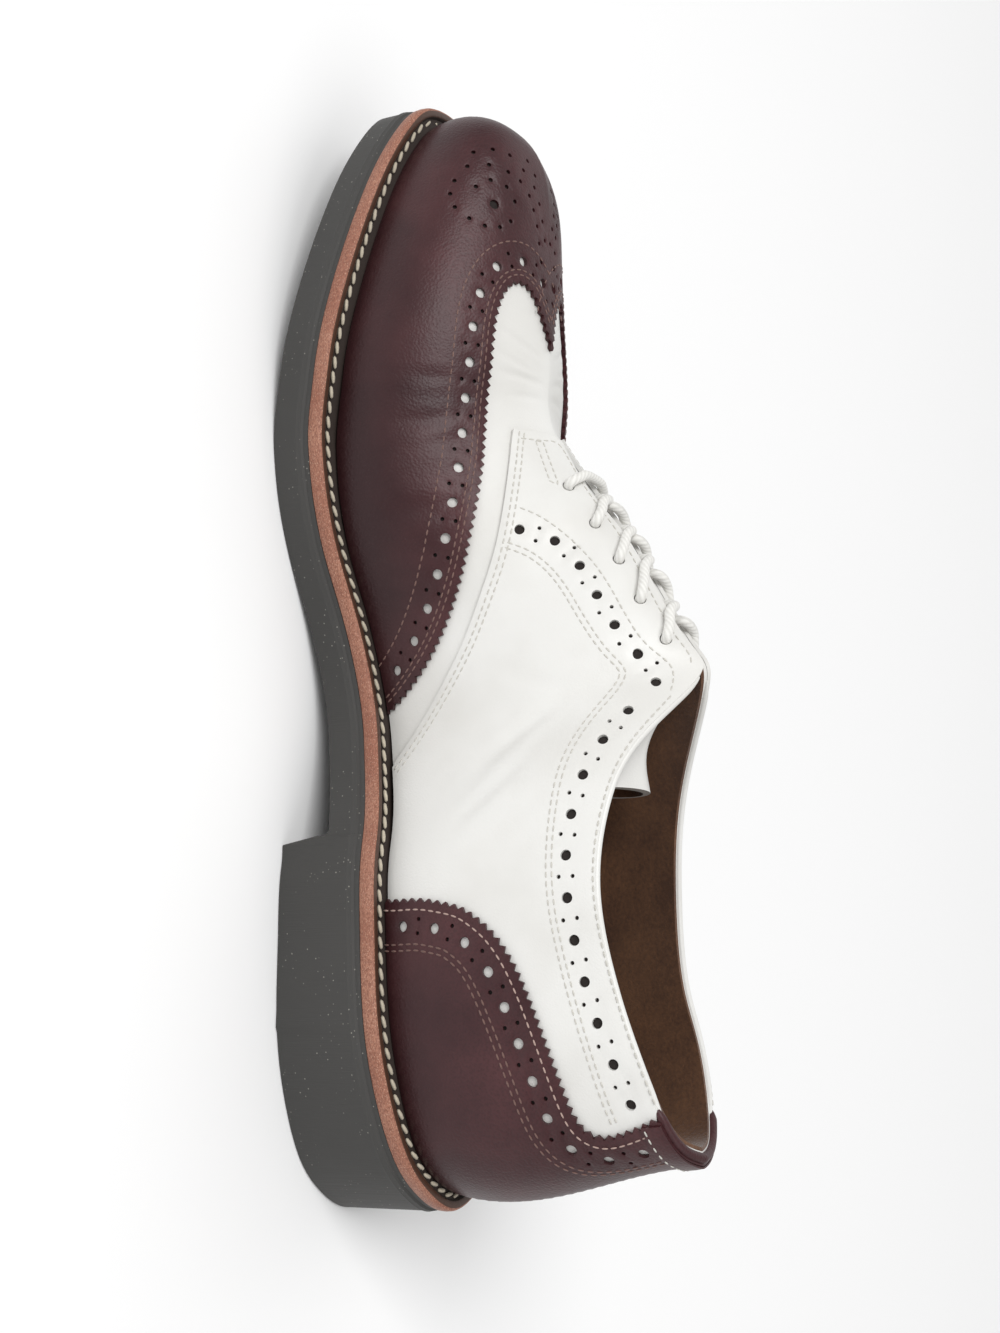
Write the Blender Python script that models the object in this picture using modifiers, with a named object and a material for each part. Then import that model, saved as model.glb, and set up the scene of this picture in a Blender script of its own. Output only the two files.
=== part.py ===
# Right spectator shoe, standing empty on its sole: +X to the toe, +Y to the inner side, +Z up.
# The origin is the centre of the heel's bottom face. All lengths are in metres.

import math

import bmesh
import bpy
import numpy as np
from mathutils import Vector
from mathutils.geometry import delaunay_2d_cdt

# Sole
SOLE_LENGTH = 0.305
INNER_WIDTH = 0.0508          # heel axis to the inner edge at the ball
OUTER_WIDTH = 0.0555          # heel axis to the outer edge at the ball
HEEL_HALF_WIDTH = 0.0373
TOE_SWING = 0.0115            # toe tip's offset to the inner side
HEEL_LENGTH = 0.0958
HEEL_BASE = 0.985             # half width of the heel block at its breast, share of the heel half width
HEEL_LIFT = 0.0189            # rise of the rubber's top from the ball to the heel end
TOE_SPRING = 0.0193
RUBBER_THICKNESS = 0.0109
BREAST_SLANT = 0.002
BREAST_FILLET = 0.0022
BREAST_ROOM = 0.006           # no other section lies this close to the breast
EDGE_BREAK = 0.0008           # small chamfer along the tread edge
RAND_DEPTH = 0.0006           # shallow step of the rubber just under the welt
RAND_HEIGHT = 0.0022

# Welt, insole and upper
WELT_THICKNESS = 0.0038
WELT_MARGIN = 0.0080          # welt showing outside the upper
WELT_INSET = 0.0004           # how far the welt's edge stands inside the rubber's edge
INSOLE_THICKNESS = 0.0070
WALL = 0.0020                 # vamp and lining together
PANEL = 0.0013                # leather of one overlay
INSTEP_RISE = 0.086           # facing's top corner above the welt
BACK_RISE = 0.065             # collar at the back above the welt
COLLAR_HALF_WIDTH = 0.0275
THROAT_GAP = 0.0025           # facing edge to the centre line at the top
TONGUE_THICKNESS = 0.0019
LACE_DIAMETER = 0.0028
EYELET_INSET = 0.0060         # eyelet to the facing's edge
EYELET_PITCH = 0.0141
EYELET_COUNT = 5
CLEARANCE = 0.0003

# Sole outline at the heel: station and half width, as shares of length and of heel half width
HEEL_ROWS = (
    ("station", "half"),
    (0.015, 0.36),
    (0.040, 0.61),
    (0.085, 0.82),
    (0.150, 0.97),
    (0.230, 1.000),
)
# Sole outline from waist to toe: shares of length, inner width and outer width
FORE_ROWS = (
    ("station", "inner", "outer"),
    (0.300, 0.716, 0.680),
    (0.400, 0.525, 0.762),
    (0.500, 0.585, 0.900),
    (0.600, 0.860, 0.996),
    (0.680, 0.965, 0.969),
    (0.750, 1.000, 0.861),
    (0.820, 0.955, 0.699),
    (0.880, 0.870, 0.513),
    (0.930, 0.775, 0.350),
    (0.970, 0.655, 0.185),
    (0.992, 0.520, 0.020),
)
# Lift of the sole off the floor: shares of heel lift and of toe spring
LIFT_ROWS = (
    ("station", "heel", "spring"),
    (0.000, 1.000, 0.0),
    (0.100, 0.880, 0.0),
    (0.200, 0.772, 0.0),
    (0.310, 0.690, 0.0),
    (0.400, 0.370, 0.0),
    (0.500, 0.111, 0.0),
    (0.580, 0.000, 0.0),
    (0.655, 0.000, 0.0),
    (0.720, 0.000, 0.137),
    (0.800, 0.000, 0.355),
    (0.900, 0.000, 0.631),
    (1.000, 0.000, 1.000),
)
# Share of the welt margin that shows along the length
MARGIN_ROWS = (
    ("station", "share"),
    (0.00, 0.955),
    (0.15, 1.15),
    (0.35, 1.02),
    (0.55, 0.925),
    (0.70, 1.15),
    (1.00, 0.97),
)
# Top line of the vamp and facings: share round from the toe, station as a share of length,
# rise as a share of the instep's rise, and half gap as a share of the throat gap
RIDGE_ROWS = (
    ("round", "station", "rise", "gap"),
    (0.000, 0.877, 0.401, 0.00),
    (0.100, 0.841, 0.422, 0.00),
    (0.200, 0.787, 0.458, 0.00),
    (0.300, 0.739, 0.490, 0.00),
    (0.395, 0.680, 0.552, 0.00),
    (0.440, 0.637, 0.647, 1.20),
    (0.500, 0.598, 0.747, 0.90),
    (0.560, 0.551, 0.852, 0.80),
    (0.610, 0.483, 0.966, 0.90),
    (0.655, 0.450, 0.999, 1.00),
)
# Collar: share round, station, rise as a share of the back's rise, half width share
COLLAR_ROWS = (
    ("round", "station", "rise", "half"),
    (0.700, 0.394, 1.117, 0.575),
    (0.750, 0.335, 0.948, 0.835),
    (0.810, 0.262, 0.896, 0.925),
    (0.870, 0.190, 0.934, 0.830),
    (0.925, 0.128, 1.005, 0.748),
    (0.965, 0.069, 1.066, 0.436),
    (1.000, 0.053, 1.103, 0.000),
)
# Fullness of each section: handle lengths as shares of the section's width, lean of the foot
# handle outwards, and fall of the top handle in degrees below level
FULLNESS_ROWS = (
    ("round", "foot", "lean", "top", "fall"),
    (0.000, 0.475, 0.395, 0.583, -4.4),
    (0.150, 0.440, 0.250, 0.464, -0.3),
    (0.300, 0.42, 0.20, 0.307, 5.7),
    (0.400, 0.42, 0.18, 0.210, 11.8),
    (0.500, 0.40, 0.14, 0.279, 25.4),
    (0.600, 0.36, 0.12, 0.321, 44.5),
    (0.660, 0.32, 0.14, 0.339, 58.0),
    (0.750, 0.32, 0.177, 0.33, 76.0),
    (0.850, 0.34, 0.202, 0.33, 80.0),
    (1.000, 0.36, 0.280, 0.36, 86.0),
)
# Overlay outlines: share round from the toe and share of the way up from the welt
WING_EDGE = (
    ("round", "up"),
    (0.575, 0.000),
    (0.560, 0.084),
    (0.537, 0.200),
    (0.508, 0.300),
    (0.470, 0.388),
    (0.438, 0.455),
    (0.401, 0.536),
    (0.361, 0.605),
    (0.301, 0.640),
    (0.239, 0.660),
    (0.205, 0.690),
    (0.183, 0.735),
    (0.172, 0.790),
    (0.171, 0.840),
    (0.180, 0.890),
    (0.200, 0.932),
    (0.230, 0.972),
    (0.256, 1.000),
)
QUARTER_FRONT = (
    ("round", "up"),
    (0.622, 0.000),
    (0.606, 0.058),
    (0.583, 0.145),
    (0.559, 0.244),
    (0.536, 0.330),
    (0.506, 0.408),
    (0.473, 0.485),
    (0.439, 0.559),
    (0.409, 0.628),
    (0.373, 0.715),
    (0.384, 0.840),
    (0.394, 0.950),
    (0.400, 1.000),
)
COUNTER_EDGE = (
    ("round", "up"),
    (0.738, 0.000),
    (0.744, 0.158),
    (0.757, 0.280),
    (0.773, 0.387),
    (0.790, 0.470),
    (0.808, 0.545),
    (0.828, 0.605),
    (0.850, 0.645),
    (0.880, 0.674),
    (0.910, 0.692),
    (0.932, 0.700),
    (0.947, 0.714),
    (0.955, 0.762),
    (0.956, 0.850),
    (0.954, 0.930),
    (0.951, 1.000),
)
# Free end of the tongue past the facings: shares of its length back, and of its drop
TONGUE_END = (
    ("back", "drop"),
    (0.30, 0.06),
    (0.60, 0.28),
    (0.85, 0.62),
    (1.00, 1.00),
)

PANEL_GAP = CLEARANCE + 0.0003
LAYER_EASE = 0.0004           # more room where an overlay lies on another overlay
WELT_TO_PANEL = 0.020         # share of the way up at which an overlay's lower edge lies
PATCH_LENGTH = 0.32           # flat length of the upper's whole way round, for laying out a patch
PATCH_RISE = 0.09             # flat height of the upper's whole way up
PATCH_MARGIN = 0.0022         # flat distance that a patch's inner points keep from its outline
EDGE_ROUND = 0.030            # longest step of an outline round the shoe
EDGE_UP = 0.11                # longest step of an outline up the shoe
QUARTER_SEAM = 0.0006         # share round left open between the quarters at the back
WING_FOOT_POINTS = 36
QUARTER_FOOT_POINTS = 16
COUNTER_FOOT_POINTS = 22
THROAT_ROUND = 0.395          # share round at which the facings part
SIDE_COLUMNS = 40             # columns of the upper's sheet on each side
CLOSED_COLUMNS = 15           # those of them before the throat
ROUND_STEP = 0.004            # share round that counts as beside a place
ROW_CROWDING = 0.05           # how much rows draw together at the ends
UP_ROWS = 11
SOLE_ROWS = 46
RING_POINTS = 84
TONGUE_FROM = 0.345           # shares round between which the facings cover the tongue
TONGUE_LOW = 0.66             # share of the way up at which the tongue's edges lie
TONGUE_REACH = 0.024          # free end past the facings' top corners
TONGUE_DROP = 0.016
TONGUE_PINCH = 0.35           # narrowing of the free end
TONGUE_ROWS = 12
LACE_POINTS = 9
LACE_EASE = 0.0009            # air under a lace where it crosses the bent facings
LACE_CROWN = 0.6              # rise of a lace over the throat, as a share of its diameter
FIRST_EYELET = 0.443          # share round
LACE_ADVANCE = 0.45           # how far a crossing runs to the toe, as a share of the pitch
LACE_SIDES = 2                # bevel resolution of a lace
HEEL_CENTRE = 0.158 * SOLE_LENGTH


def column(table, name):
    head = table[0].index(name)
    return np.array([row[head] for row in table[1:]])


# Smooth curve through rows of values, natural at both ends or closed
class Curve:
    def __init__(self, knots, values, closed=False):
        self.knots = np.asarray(knots, float)
        self.values = np.asarray(values, float).reshape(len(self.knots), -1)
        self.closed = closed
        count = len(self.knots)
        step = np.diff(self.knots)
        matrix = np.eye(count)
        right = np.zeros_like(self.values)
        for i in range(1, count - 1):
            matrix[i, i - 1:i + 2] = (step[i - 1], 2 * (step[i - 1] + step[i]), step[i])
            right[i] = 6 * (self.rise(i, step) - self.rise(i - 1, step))
        if closed:
            matrix[0, :] = 0
            matrix[0, 0] = 2 * (step[0] + step[-1])
            matrix[0, 1] = step[0]
            matrix[0, -2] = step[-1]
            right[0] = 6 * (self.rise(0, step) - self.rise(count - 2, step))
            matrix[-1, :] = 0
            matrix[-1, 0] = 1
            matrix[-1, -1] = -1
        self.bend = np.linalg.solve(matrix, right)

    def rise(self, i, step):
        return (self.values[i + 1] - self.values[i]) / step[i]

    def __call__(self, at):
        at = np.atleast_1d(np.asarray(at, float))
        i = np.clip(np.searchsorted(self.knots, at, side="right") - 1, 0, len(self.knots) - 2)
        span = (self.knots[i + 1] - self.knots[i])[:, None]
        a = (self.knots[i + 1][:, None] - at[:, None]) / span
        b = 1 - a
        curve = a * self.values[i] + b * self.values[i + 1]
        return curve + ((a ** 3 - a) * self.bend[i] + (b ** 3 - b) * self.bend[i + 1]) * span ** 2 / 6


# Level-keeping curve through a table's rows, which never overshoots a row
def steady(xs, ys):
    xs = np.asarray(xs, float)
    ys = np.asarray(ys, float)
    step = np.diff(xs)
    slope = np.diff(ys) / step
    tangent = np.zeros_like(ys)
    tangent[0] = slope[0]
    tangent[-1] = slope[-1]
    for i in range(1, len(xs) - 1):
        if slope[i - 1] * slope[i] > 0:
            wide = 2 * step[i] + step[i - 1]
            near = step[i] + 2 * step[i - 1]
            tangent[i] = (wide + near) / (wide / slope[i - 1] + near / slope[i])

    def value(x):
        x = np.clip(np.asarray(x, float), xs[0], xs[-1])
        i = np.clip(np.searchsorted(xs, x, side="right") - 1, 0, len(xs) - 2)
        h = step[i]
        u = (x - xs[i]) / h
        first = ys[i] * (1 + 2 * u) * (1 - u) ** 2 + h * tangent[i] * u * (1 - u) ** 2
        return first + ys[i + 1] * u * u * (3 - 2 * u) + h * tangent[i + 1] * u * u * (u - 1)

    return value


def chord_knots(points):
    lengths = np.linalg.norm(np.diff(points, axis=0), axis=1)
    return np.concatenate(([0.0], np.cumsum(np.sqrt(lengths))))


# Sole outline, a closed curve from the toe tip by the inner side and the heel
def outline_curve():
    fore = column(FORE_ROWS, "station") * SOLE_LENGTH
    inner = column(FORE_ROWS, "inner") * INNER_WIDTH
    outer = column(FORE_ROWS, "outer") * OUTER_WIDTH
    heel = column(HEEL_ROWS, "station") * SOLE_LENGTH
    half = column(HEEL_ROWS, "half") * HEEL_HALF_WIDTH
    points = [(SOLE_LENGTH, TOE_SWING)]
    points += list(zip(fore[::-1], inner[::-1]))
    points += list(zip(heel[::-1], half[::-1]))
    points += [(0.0, 0.0)]
    points += list(zip(heel, -half))
    points += list(zip(fore, -outer))
    points += [(SOLE_LENGTH, TOE_SWING)]
    points = np.array(points)
    return Curve(chord_knots(points), points, closed=True)


# Evenly spaced points of the outline moved inwards, from toe tip by the inner side and back
def outline_loop(inset, count=720):
    curve = outline_curve()
    fine = curve(np.linspace(0, curve.knots[-1], 4001))
    length = np.concatenate(([0.0], np.cumsum(np.linalg.norm(np.diff(fine, axis=0), axis=1))))
    at = np.linspace(0, length[-1], count + 1)
    loop = np.column_stack([np.interp(at, length, fine[:, k]) for k in range(2)])[:-1]
    ahead = np.roll(loop, -1, axis=0) - np.roll(loop, 1, axis=0)
    ahead /= np.linalg.norm(ahead, axis=1)[:, None]
    outwards = np.column_stack((ahead[:, 1], -ahead[:, 0]))
    middle = np.array([SOLE_LENGTH / 2, 0.0])
    if np.sum(outwards[0] * (loop[0] - middle)) < 0:
        outwards = -outwards
    share = inset(loop[:, 0]) if callable(inset) else inset
    return loop - outwards * np.reshape(share, (-1, 1))


margin_share = steady(column(MARGIN_ROWS, "station"), column(MARGIN_ROWS, "share"))
heel_share = steady(column(LIFT_ROWS, "station"), column(LIFT_ROWS, "heel"))
spring_share = steady(column(LIFT_ROWS, "station"), column(LIFT_ROWS, "spring"))


def lift(x):
    station = np.asarray(x) / SOLE_LENGTH
    return heel_share(station) * HEEL_LIFT + spring_share(station) * TOE_SPRING


def rubber_top(x):
    return RUBBER_THICKNESS + lift(x)


def welt_top(x):
    return rubber_top(x) + CLEARANCE + WELT_THICKNESS


def centre_line(x):
    ahead = np.clip((np.asarray(x) / SOLE_LENGTH - 0.55) / 0.45, 0, 1)
    return TOE_SWING * ahead ** 1.5


# Inner and outer half of the feather line, as curves of the share round from toe to heel
def feather_curves():
    loop = outline_loop(lambda x: WELT_MARGIN * margin_share(x / SOLE_LENGTH))
    toe = int(np.argmax(loop[:, 0]))
    loop = np.roll(loop, -toe, axis=0)
    heel = int(np.argmin(loop[:, 0]))
    halves = {}
    for side, half in ((1, loop[:heel + 1]), (-1, np.vstack((loop[:1], loop[heel:][::-1])))):
        steps = np.linalg.norm(np.diff(half, axis=0), axis=1)
        length = np.concatenate(([0.0], np.cumsum(steps)))
        at = np.linspace(0, 1, 33)
        rows = np.column_stack([np.interp(at * length[-1], length, half[:, k]) for k in range(2)])
        halves[side] = Curve(at, rows)
    return halves


FEATHER = feather_curves()


def top_curves():
    ridge_x = column(RIDGE_ROWS, "station") * SOLE_LENGTH
    ridge_z = welt_top(ridge_x) + column(RIDGE_ROWS, "rise") * INSTEP_RISE
    gap = column(RIDGE_ROWS, "gap") * THROAT_GAP
    collar_x = column(COLLAR_ROWS, "station") * SOLE_LENGTH
    collar_z = welt_top(collar_x) + column(COLLAR_ROWS, "rise") * BACK_RISE
    half = column(COLLAR_ROWS, "half") * COLLAR_HALF_WIDTH
    around = np.concatenate((column(RIDGE_ROWS, "round"), column(COLLAR_ROWS, "round")))
    x = np.concatenate((ridge_x, collar_x))
    z = np.concatenate((ridge_z, collar_z))
    y = np.concatenate((gap, half))
    return Curve(around, np.column_stack((x, y, z)))


TOP = top_curves()
fullness = {name: steady(column(FULLNESS_ROWS, "round"), column(FULLNESS_ROWS, name))
            for name in ("foot", "lean", "top", "fall")}


# Point of the upper's outer face: side +1 inner or -1 outer, share round, share of the way up
def upper_point(side, around, up):
    around = np.atleast_1d(np.asarray(around, float))
    up = np.atleast_1d(np.asarray(up, float))
    foot = FEATHER[side](around)
    ahead = FEATHER[side](np.clip(around + ROUND_STEP, 0, 1)) - FEATHER[side](np.clip(around - ROUND_STEP, 0, 1))
    ahead /= np.linalg.norm(ahead, axis=1)[:, None]
    out = side * np.column_stack((-ahead[:, 1], ahead[:, 0]))
    out = np.where(np.sum(out * (foot - [SOLE_LENGTH / 2, 0]), axis=1)[:, None] < 0, -out, out)
    at_end = (around < 1e-6) | (around > 1 - 1e-6)
    out[at_end] = np.column_stack((np.where(around[at_end] < 0.5, 1.0, -1.0), np.zeros(at_end.sum())))
    foot = np.column_stack((foot, welt_top(foot[:, 0]) + CLEARANCE))
    top = TOP(around)
    gap = np.where(around <= THROAT_ROUND + 1e-9, 0.0, np.maximum(top[:, 1], 0))
    top[:, 1] = centre_line(top[:, 0]) + side * gap
    before = TOP(np.clip(around - 0.01, 0, 1))
    after = TOP(np.clip(around + 0.01, 0, 1))
    slope = (after[:, 2] - before[:, 2]) / (after[:, 0] - before[:, 0])
    level = np.clip((0.60 - around) / 0.2, 0, 1)
    width = np.linalg.norm(top - foot, axis=1)[:, None]
    lean = fullness["lean"](around)[:, None]
    rise = np.column_stack((out * lean, np.ones(len(around))))
    low = foot + rise * width * fullness["foot"](around)[:, None]
    fall = np.radians(fullness["fall"](around))
    over = np.column_stack((out * np.cos(fall)[:, None], -np.sin(fall)))
    over[:, 2] += out[:, 0] * slope * level
    high = top + over * width * fullness["top"](around)[:, None]
    t = up[:, None]
    return (foot * (1 - t) ** 3 + 3 * low * t * (1 - t) ** 2
            + 3 * high * t * t * (1 - t) + top * t ** 3)


# The same point from one signed share: 0 toe, 1 heel, below 0 and above 1 the outer side
def surface(wrapped, up):
    wrapped = np.atleast_1d(np.asarray(wrapped, float))
    up = np.broadcast_to(np.asarray(up, float), wrapped.shape)
    inner = (wrapped >= 0) & (wrapped <= 1)
    around = np.where(wrapped < 0, -wrapped, np.where(wrapped > 1, 2 - wrapped, wrapped))
    points = np.empty((len(wrapped), 3))
    for side, mask in ((1, inner), (-1, ~inner)):
        if mask.any():
            points[mask] = upper_point(side, around[mask], up[mask])
    return points


def surface_normal(wrapped, up):
    wrapped = np.atleast_1d(np.asarray(wrapped, float))
    up = np.clip(np.broadcast_to(np.asarray(up, float), wrapped.shape), 0.01, 0.985)
    along = surface(wrapped + ROUND_STEP, up) - surface(wrapped - ROUND_STEP, up)
    across = surface(wrapped, up + 0.01) - surface(wrapped, up - 0.01)
    normal = np.cross(along, across)
    return normal / np.linalg.norm(normal, axis=1)[:, None]


def raised(wrapped, up, level):
    return surface(wrapped, up) + surface_normal(wrapped, up) * level


NORMAL_SIGN = 1.0 if surface_normal([0.5], [0.4])[0, 1] > 0 else -1.0


def material(name, colour, roughness, metallic=0.0):
    made = bpy.data.materials.new(name)
    made.use_nodes = True
    shader = made.node_tree.nodes["Principled BSDF"]
    shader.inputs["Base Color"].default_value = (*colour, 1.0)
    shader.inputs["Roughness"].default_value = roughness
    shader.inputs["Metallic"].default_value = metallic
    return made


def link(name, mesh, finish, collection):
    made = bpy.data.objects.new(name, mesh)
    made.location.x = -HEEL_CENTRE
    made.data.materials.append(finish)
    collection.objects.link(made)
    return made


def mesh_from(name, points, faces, weld=True):
    mesh = bpy.data.meshes.new(name)
    mesh.from_pydata([tuple(p) for p in points], [], faces)
    shape = bmesh.new()
    shape.from_mesh(mesh)
    if weld:
        bmesh.ops.remove_doubles(shape, verts=shape.verts, dist=0.00002)
    bmesh.ops.triangulate(shape, faces=[f for f in shape.faces if len(f.verts) > 4])
    bmesh.ops.recalc_face_normals(shape, faces=shape.faces)
    shape.to_mesh(mesh)
    shape.free()
    return mesh


# Turns an open sheet so that its faces look away from the shoe's inside
def face_outwards(mesh):
    away = 0.0
    core = Vector((SOLE_LENGTH * 0.45, 0, 0.03))
    for face in mesh.polygons:
        away += face.normal.dot(face.center - core) * face.area
    if away < 0:
        mesh.flip_normals()
    mesh.shade_smooth()


def thicken(made, thickness, offset):
    solid = made.modifiers.new("thickness", "SOLIDIFY")
    solid.thickness = thickness
    solid.offset = offset
    solid.use_even_offset = True
    solid.use_quality_normals = True
    return made


# Inner and outer edge of the outline at a station, moved inwards
def edge_pair(inset, xs):
    loop = outline_loop(inset)
    toe = int(np.argmax(loop[:, 0]))
    loop = np.roll(loop, -toe, axis=0)
    heel = int(np.argmin(loop[:, 0]))
    first = loop[:heel + 1][::-1]
    second = loop[heel:]
    second = np.vstack((second, loop[:1]))
    inner, outer = (first, second) if first[:, 1].mean() > second[:, 1].mean() else (second, first)
    low = loop[:, 0].min()
    high = loop[:, 0].max()
    at = low + (high - low) * np.asarray(xs) / SOLE_LENGTH
    return at, np.interp(at, inner[:, 0], inner[:, 1]), np.interp(at, outer[:, 0], outer[:, 1])


def stations():
    turn = np.linspace(0, math.pi, SOLE_ROWS)
    return SOLE_LENGTH * (1 - np.cos(turn)) / 2


# Closed solid from rings of points along the shoe, with flat first and last rings
def loft(name, rings):
    rings = np.array(rings)
    rows, count, _ = rings.shape
    faces = []
    for i in range(rows - 1):
        for j in range(count):
            k = (j + 1) % count
            faces.append((i * count + j, i * count + k, (i + 1) * count + k, (i + 1) * count + j))
    faces.append(tuple(range(count)))
    faces.append(tuple((rows - 1) * count + j for j in range(count)))
    return mesh_from(name, rings.reshape(-1, 3), faces)


# Rubber sole and heel in one: rings from the heel end to the toe, with the heel's breast
def outsole():
    arch = float(lift(HEEL_LENGTH))
    xs = [x for x in stations() if x < HEEL_LENGTH - BREAST_ROOM]
    rows = [(x, 0.0) for x in xs]
    rows += [(HEEL_LENGTH - BREAST_SLANT, 0.0), (HEEL_LENGTH, arch - BREAST_FILLET)]
    front = [x for x in stations() if x > HEEL_LENGTH + BREAST_ROOM]
    rows += [(HEEL_LENGTH + BREAST_FILLET, float(lift(HEEL_LENGTH + BREAST_FILLET)))]
    rows += [(x, float(lift(x))) for x in front]
    xs = np.array([x for x, _ in rows])
    floor = np.array([z for _, z in rows])
    low_x, low_in, low_out = edge_pair(EDGE_BREAK, xs)
    wide_x, wide_in, wide_out = edge_pair(0.0, xs)
    rand_x, rand_in, rand_out = edge_pair(RAND_DEPTH, xs)
    block = (xs > HEEL_ROWS[-2][0] * SOLE_LENGTH) & (xs <= HEEL_LENGTH)
    foot_in = np.where(block, np.maximum(wide_in, HEEL_HALF_WIDTH * HEEL_BASE), wide_in)
    foot_out = np.where(block, np.minimum(wide_out, -HEEL_HALF_WIDTH * HEEL_BASE), wide_out)
    low_in = low_in + foot_in - wide_in
    low_out = low_out + foot_out - wide_out
    rings = []
    for i, x in enumerate(xs):
        base = floor[i]
        top = float(rubber_top(x))
        rings.append([
            (low_x[i], low_in[i], base),
            (wide_x[i], foot_in[i], base + EDGE_BREAK),
            (wide_x[i], wide_in[i], top - RAND_HEIGHT),
            (rand_x[i], rand_in[i], top - RAND_HEIGHT + RAND_DEPTH),
            (rand_x[i], rand_in[i], top),
            (rand_x[i], rand_out[i], top),
            (rand_x[i], rand_out[i], top - RAND_HEIGHT + RAND_DEPTH),
            (wide_x[i], wide_out[i], top - RAND_HEIGHT),
            (wide_x[i], foot_out[i], base + EDGE_BREAK),
            (low_x[i], low_out[i], base),
        ])
    return loft("outsole", rings)


def ring_solid(name, outer, inner, bottoms, tops):
    count = len(outer)
    points = []
    for i in range(count):
        points.append((*outer[i], bottoms[0][i]))
        points.append((*outer[i], tops[0][i]))
        points.append((*inner[i], tops[1][i]))
        points.append((*inner[i], bottoms[1][i]))
    faces = []
    for i in range(count):
        k = (i + 1) % count
        for j in range(4):
            m = (j + 1) % 4
            faces.append((4 * i + j, 4 * i + m, 4 * k + m, 4 * k + j))
    return mesh_from(name, points, faces, weld=False)


def rim(x):
    return WELT_MARGIN * margin_share(x / SOLE_LENGTH)


# Welt: a strip all round between the rubber and the upper
def welt():
    outer = outline_loop(WELT_INSET, RING_POINTS)
    inner = outline_loop(lambda x: rim(x) + WALL + CLEARANCE, RING_POINTS)
    bottoms = [rubber_top(loop[:, 0]) + CLEARANCE for loop in (outer, inner)]
    tops = [welt_top(loop[:, 0]) for loop in (outer, inner)]
    return ring_solid("welt", outer, inner, bottoms, tops)


# Insole: a plate inside the welt, which closes the upper underneath
def insole():
    xs = stations()
    at, inner, outer = edge_pair(lambda x: rim(x) + WALL + 3 * CLEARANCE, xs)
    rings = []
    for i in range(len(xs)):
        base = float(rubber_top(at[i])) + CLEARANCE
        top = base + INSOLE_THICKNESS
        rings.append([(at[i], inner[i], base), (at[i], inner[i], top),
                      (at[i], outer[i], top), (at[i], outer[i], base)])
    return loft("insole", rings)


def round_knots():
    closed = np.linspace(0, THROAT_ROUND, CLOSED_COLUMNS)
    gape = np.linspace(THROAT_ROUND, 1, SIDE_COLUMNS - CLOSED_COLUMNS + 2)[1:]
    return np.concatenate((closed, gape))


def up_knots():
    rows = np.linspace(0, 1, UP_ROWS)
    return rows + ROW_CROWDING * np.sin(2 * math.pi * rows) / 2


# Upper: one hollow wall over the last, open at the throat, the collar and underneath
def upper(finish, collection):
    rounds = round_knots()
    ups = up_knots()
    wrapped = np.concatenate((rounds, 2 - rounds[::-1][1:-1]))
    points = []
    for up in ups:
        points.extend(surface(wrapped, up))
    count = len(wrapped)
    faces = []
    for j in range(len(ups) - 1):
        for i in range(count):
            k = (i + 1) % count
            faces.append((j * count + i, j * count + k, (j + 1) * count + k, (j + 1) * count + i))
    mesh = mesh_from("upper", points, faces)
    face_outwards(mesh)
    return thicken(link("upper", mesh, finish, collection), WALL, -1.0)


def inside(polygon, point):
    hit = False
    j = len(polygon) - 1
    for i in range(len(polygon)):
        (x1, y1), (x2, y2) = polygon[i], polygon[j]
        if (y1 > point[1]) != (y2 > point[1]) and point[0] < (x2 - x1) * (point[1] - y1) / (y2 - y1) + x1:
            hit = not hit
        j = i
    return hit


def fine_edge(points):
    dense = []
    for (a, b), (c, d) in zip(points, points[1:]):
        parts = max(1, math.ceil(math.hypot((c - a) / EDGE_ROUND, (d - b) / EDGE_UP)))
        dense += [(a + (c - a) * k / parts, b + (d - b) * k / parts) for k in range(parts)]
    return dense + [points[-1]]


# Leather overlay over the upper: the patch of the surface inside an outline, lifted and thickened
def overlay(name, outline, level, finish, collection):
    outline = [(a, min(max(b, WELT_TO_PANEL), 1.0)) for a, b in outline]
    loop = [(a * PATCH_LENGTH, b * PATCH_RISE) for a, b in outline]
    rounds = round_knots()
    grid = np.concatenate((-rounds[::-1], rounds[1:], 2 - rounds[::-1][1:]))
    points = list(loop)
    for a in grid:
        for b in up_knots()[1:-1]:
            spot = (a * PATCH_LENGTH, b * PATCH_RISE)
            near = min(math.dist(spot, edge) for edge in loop)
            if near > PATCH_MARGIN and inside(loop, spot):
                points.append(spot)
    ring = [tuple(range(len(loop)))]
    made = delaunay_2d_cdt([Vector(p) for p in points], [], ring, 1, 1e-6)
    flat = np.array([tuple(p) for p in made[0]])
    lifted = raised(flat[:, 0] / PATCH_LENGTH, flat[:, 1] / PATCH_RISE, level * NORMAL_SIGN)
    mesh = mesh_from(name, lifted, [tuple(face) for face in made[2]])
    face_outwards(mesh)
    return thicken(link(name, mesh, finish, collection), PANEL, 1.0)


def rows_of(table):
    return [tuple(row) for row in table[1:]]


def top_run(start, stop):
    low = min(start, stop) + ROUND_STEP
    high = max(start, stop) - ROUND_STEP
    knots = [a for a in round_knots() if low < a < high]
    return [(a, 1.0) for a in (knots if start < stop else knots[::-1])]


def foot_run(start, stop, count):
    return [(start + (stop - start) * k / count, 0.0) for k in range(1, count)]


def wing_outline():
    edge = fine_edge(rows_of(WING_EDGE))
    ridge = top_run(edge[-1][0], 0.0) + [(0.0, 1.0)]
    half = edge + ridge
    mirrored = [(-a, b) for a, b in half[:-1]][::-1]
    low = edge[0][0]
    return half + mirrored + foot_run(-low, low, WING_FOOT_POINTS)


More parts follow.
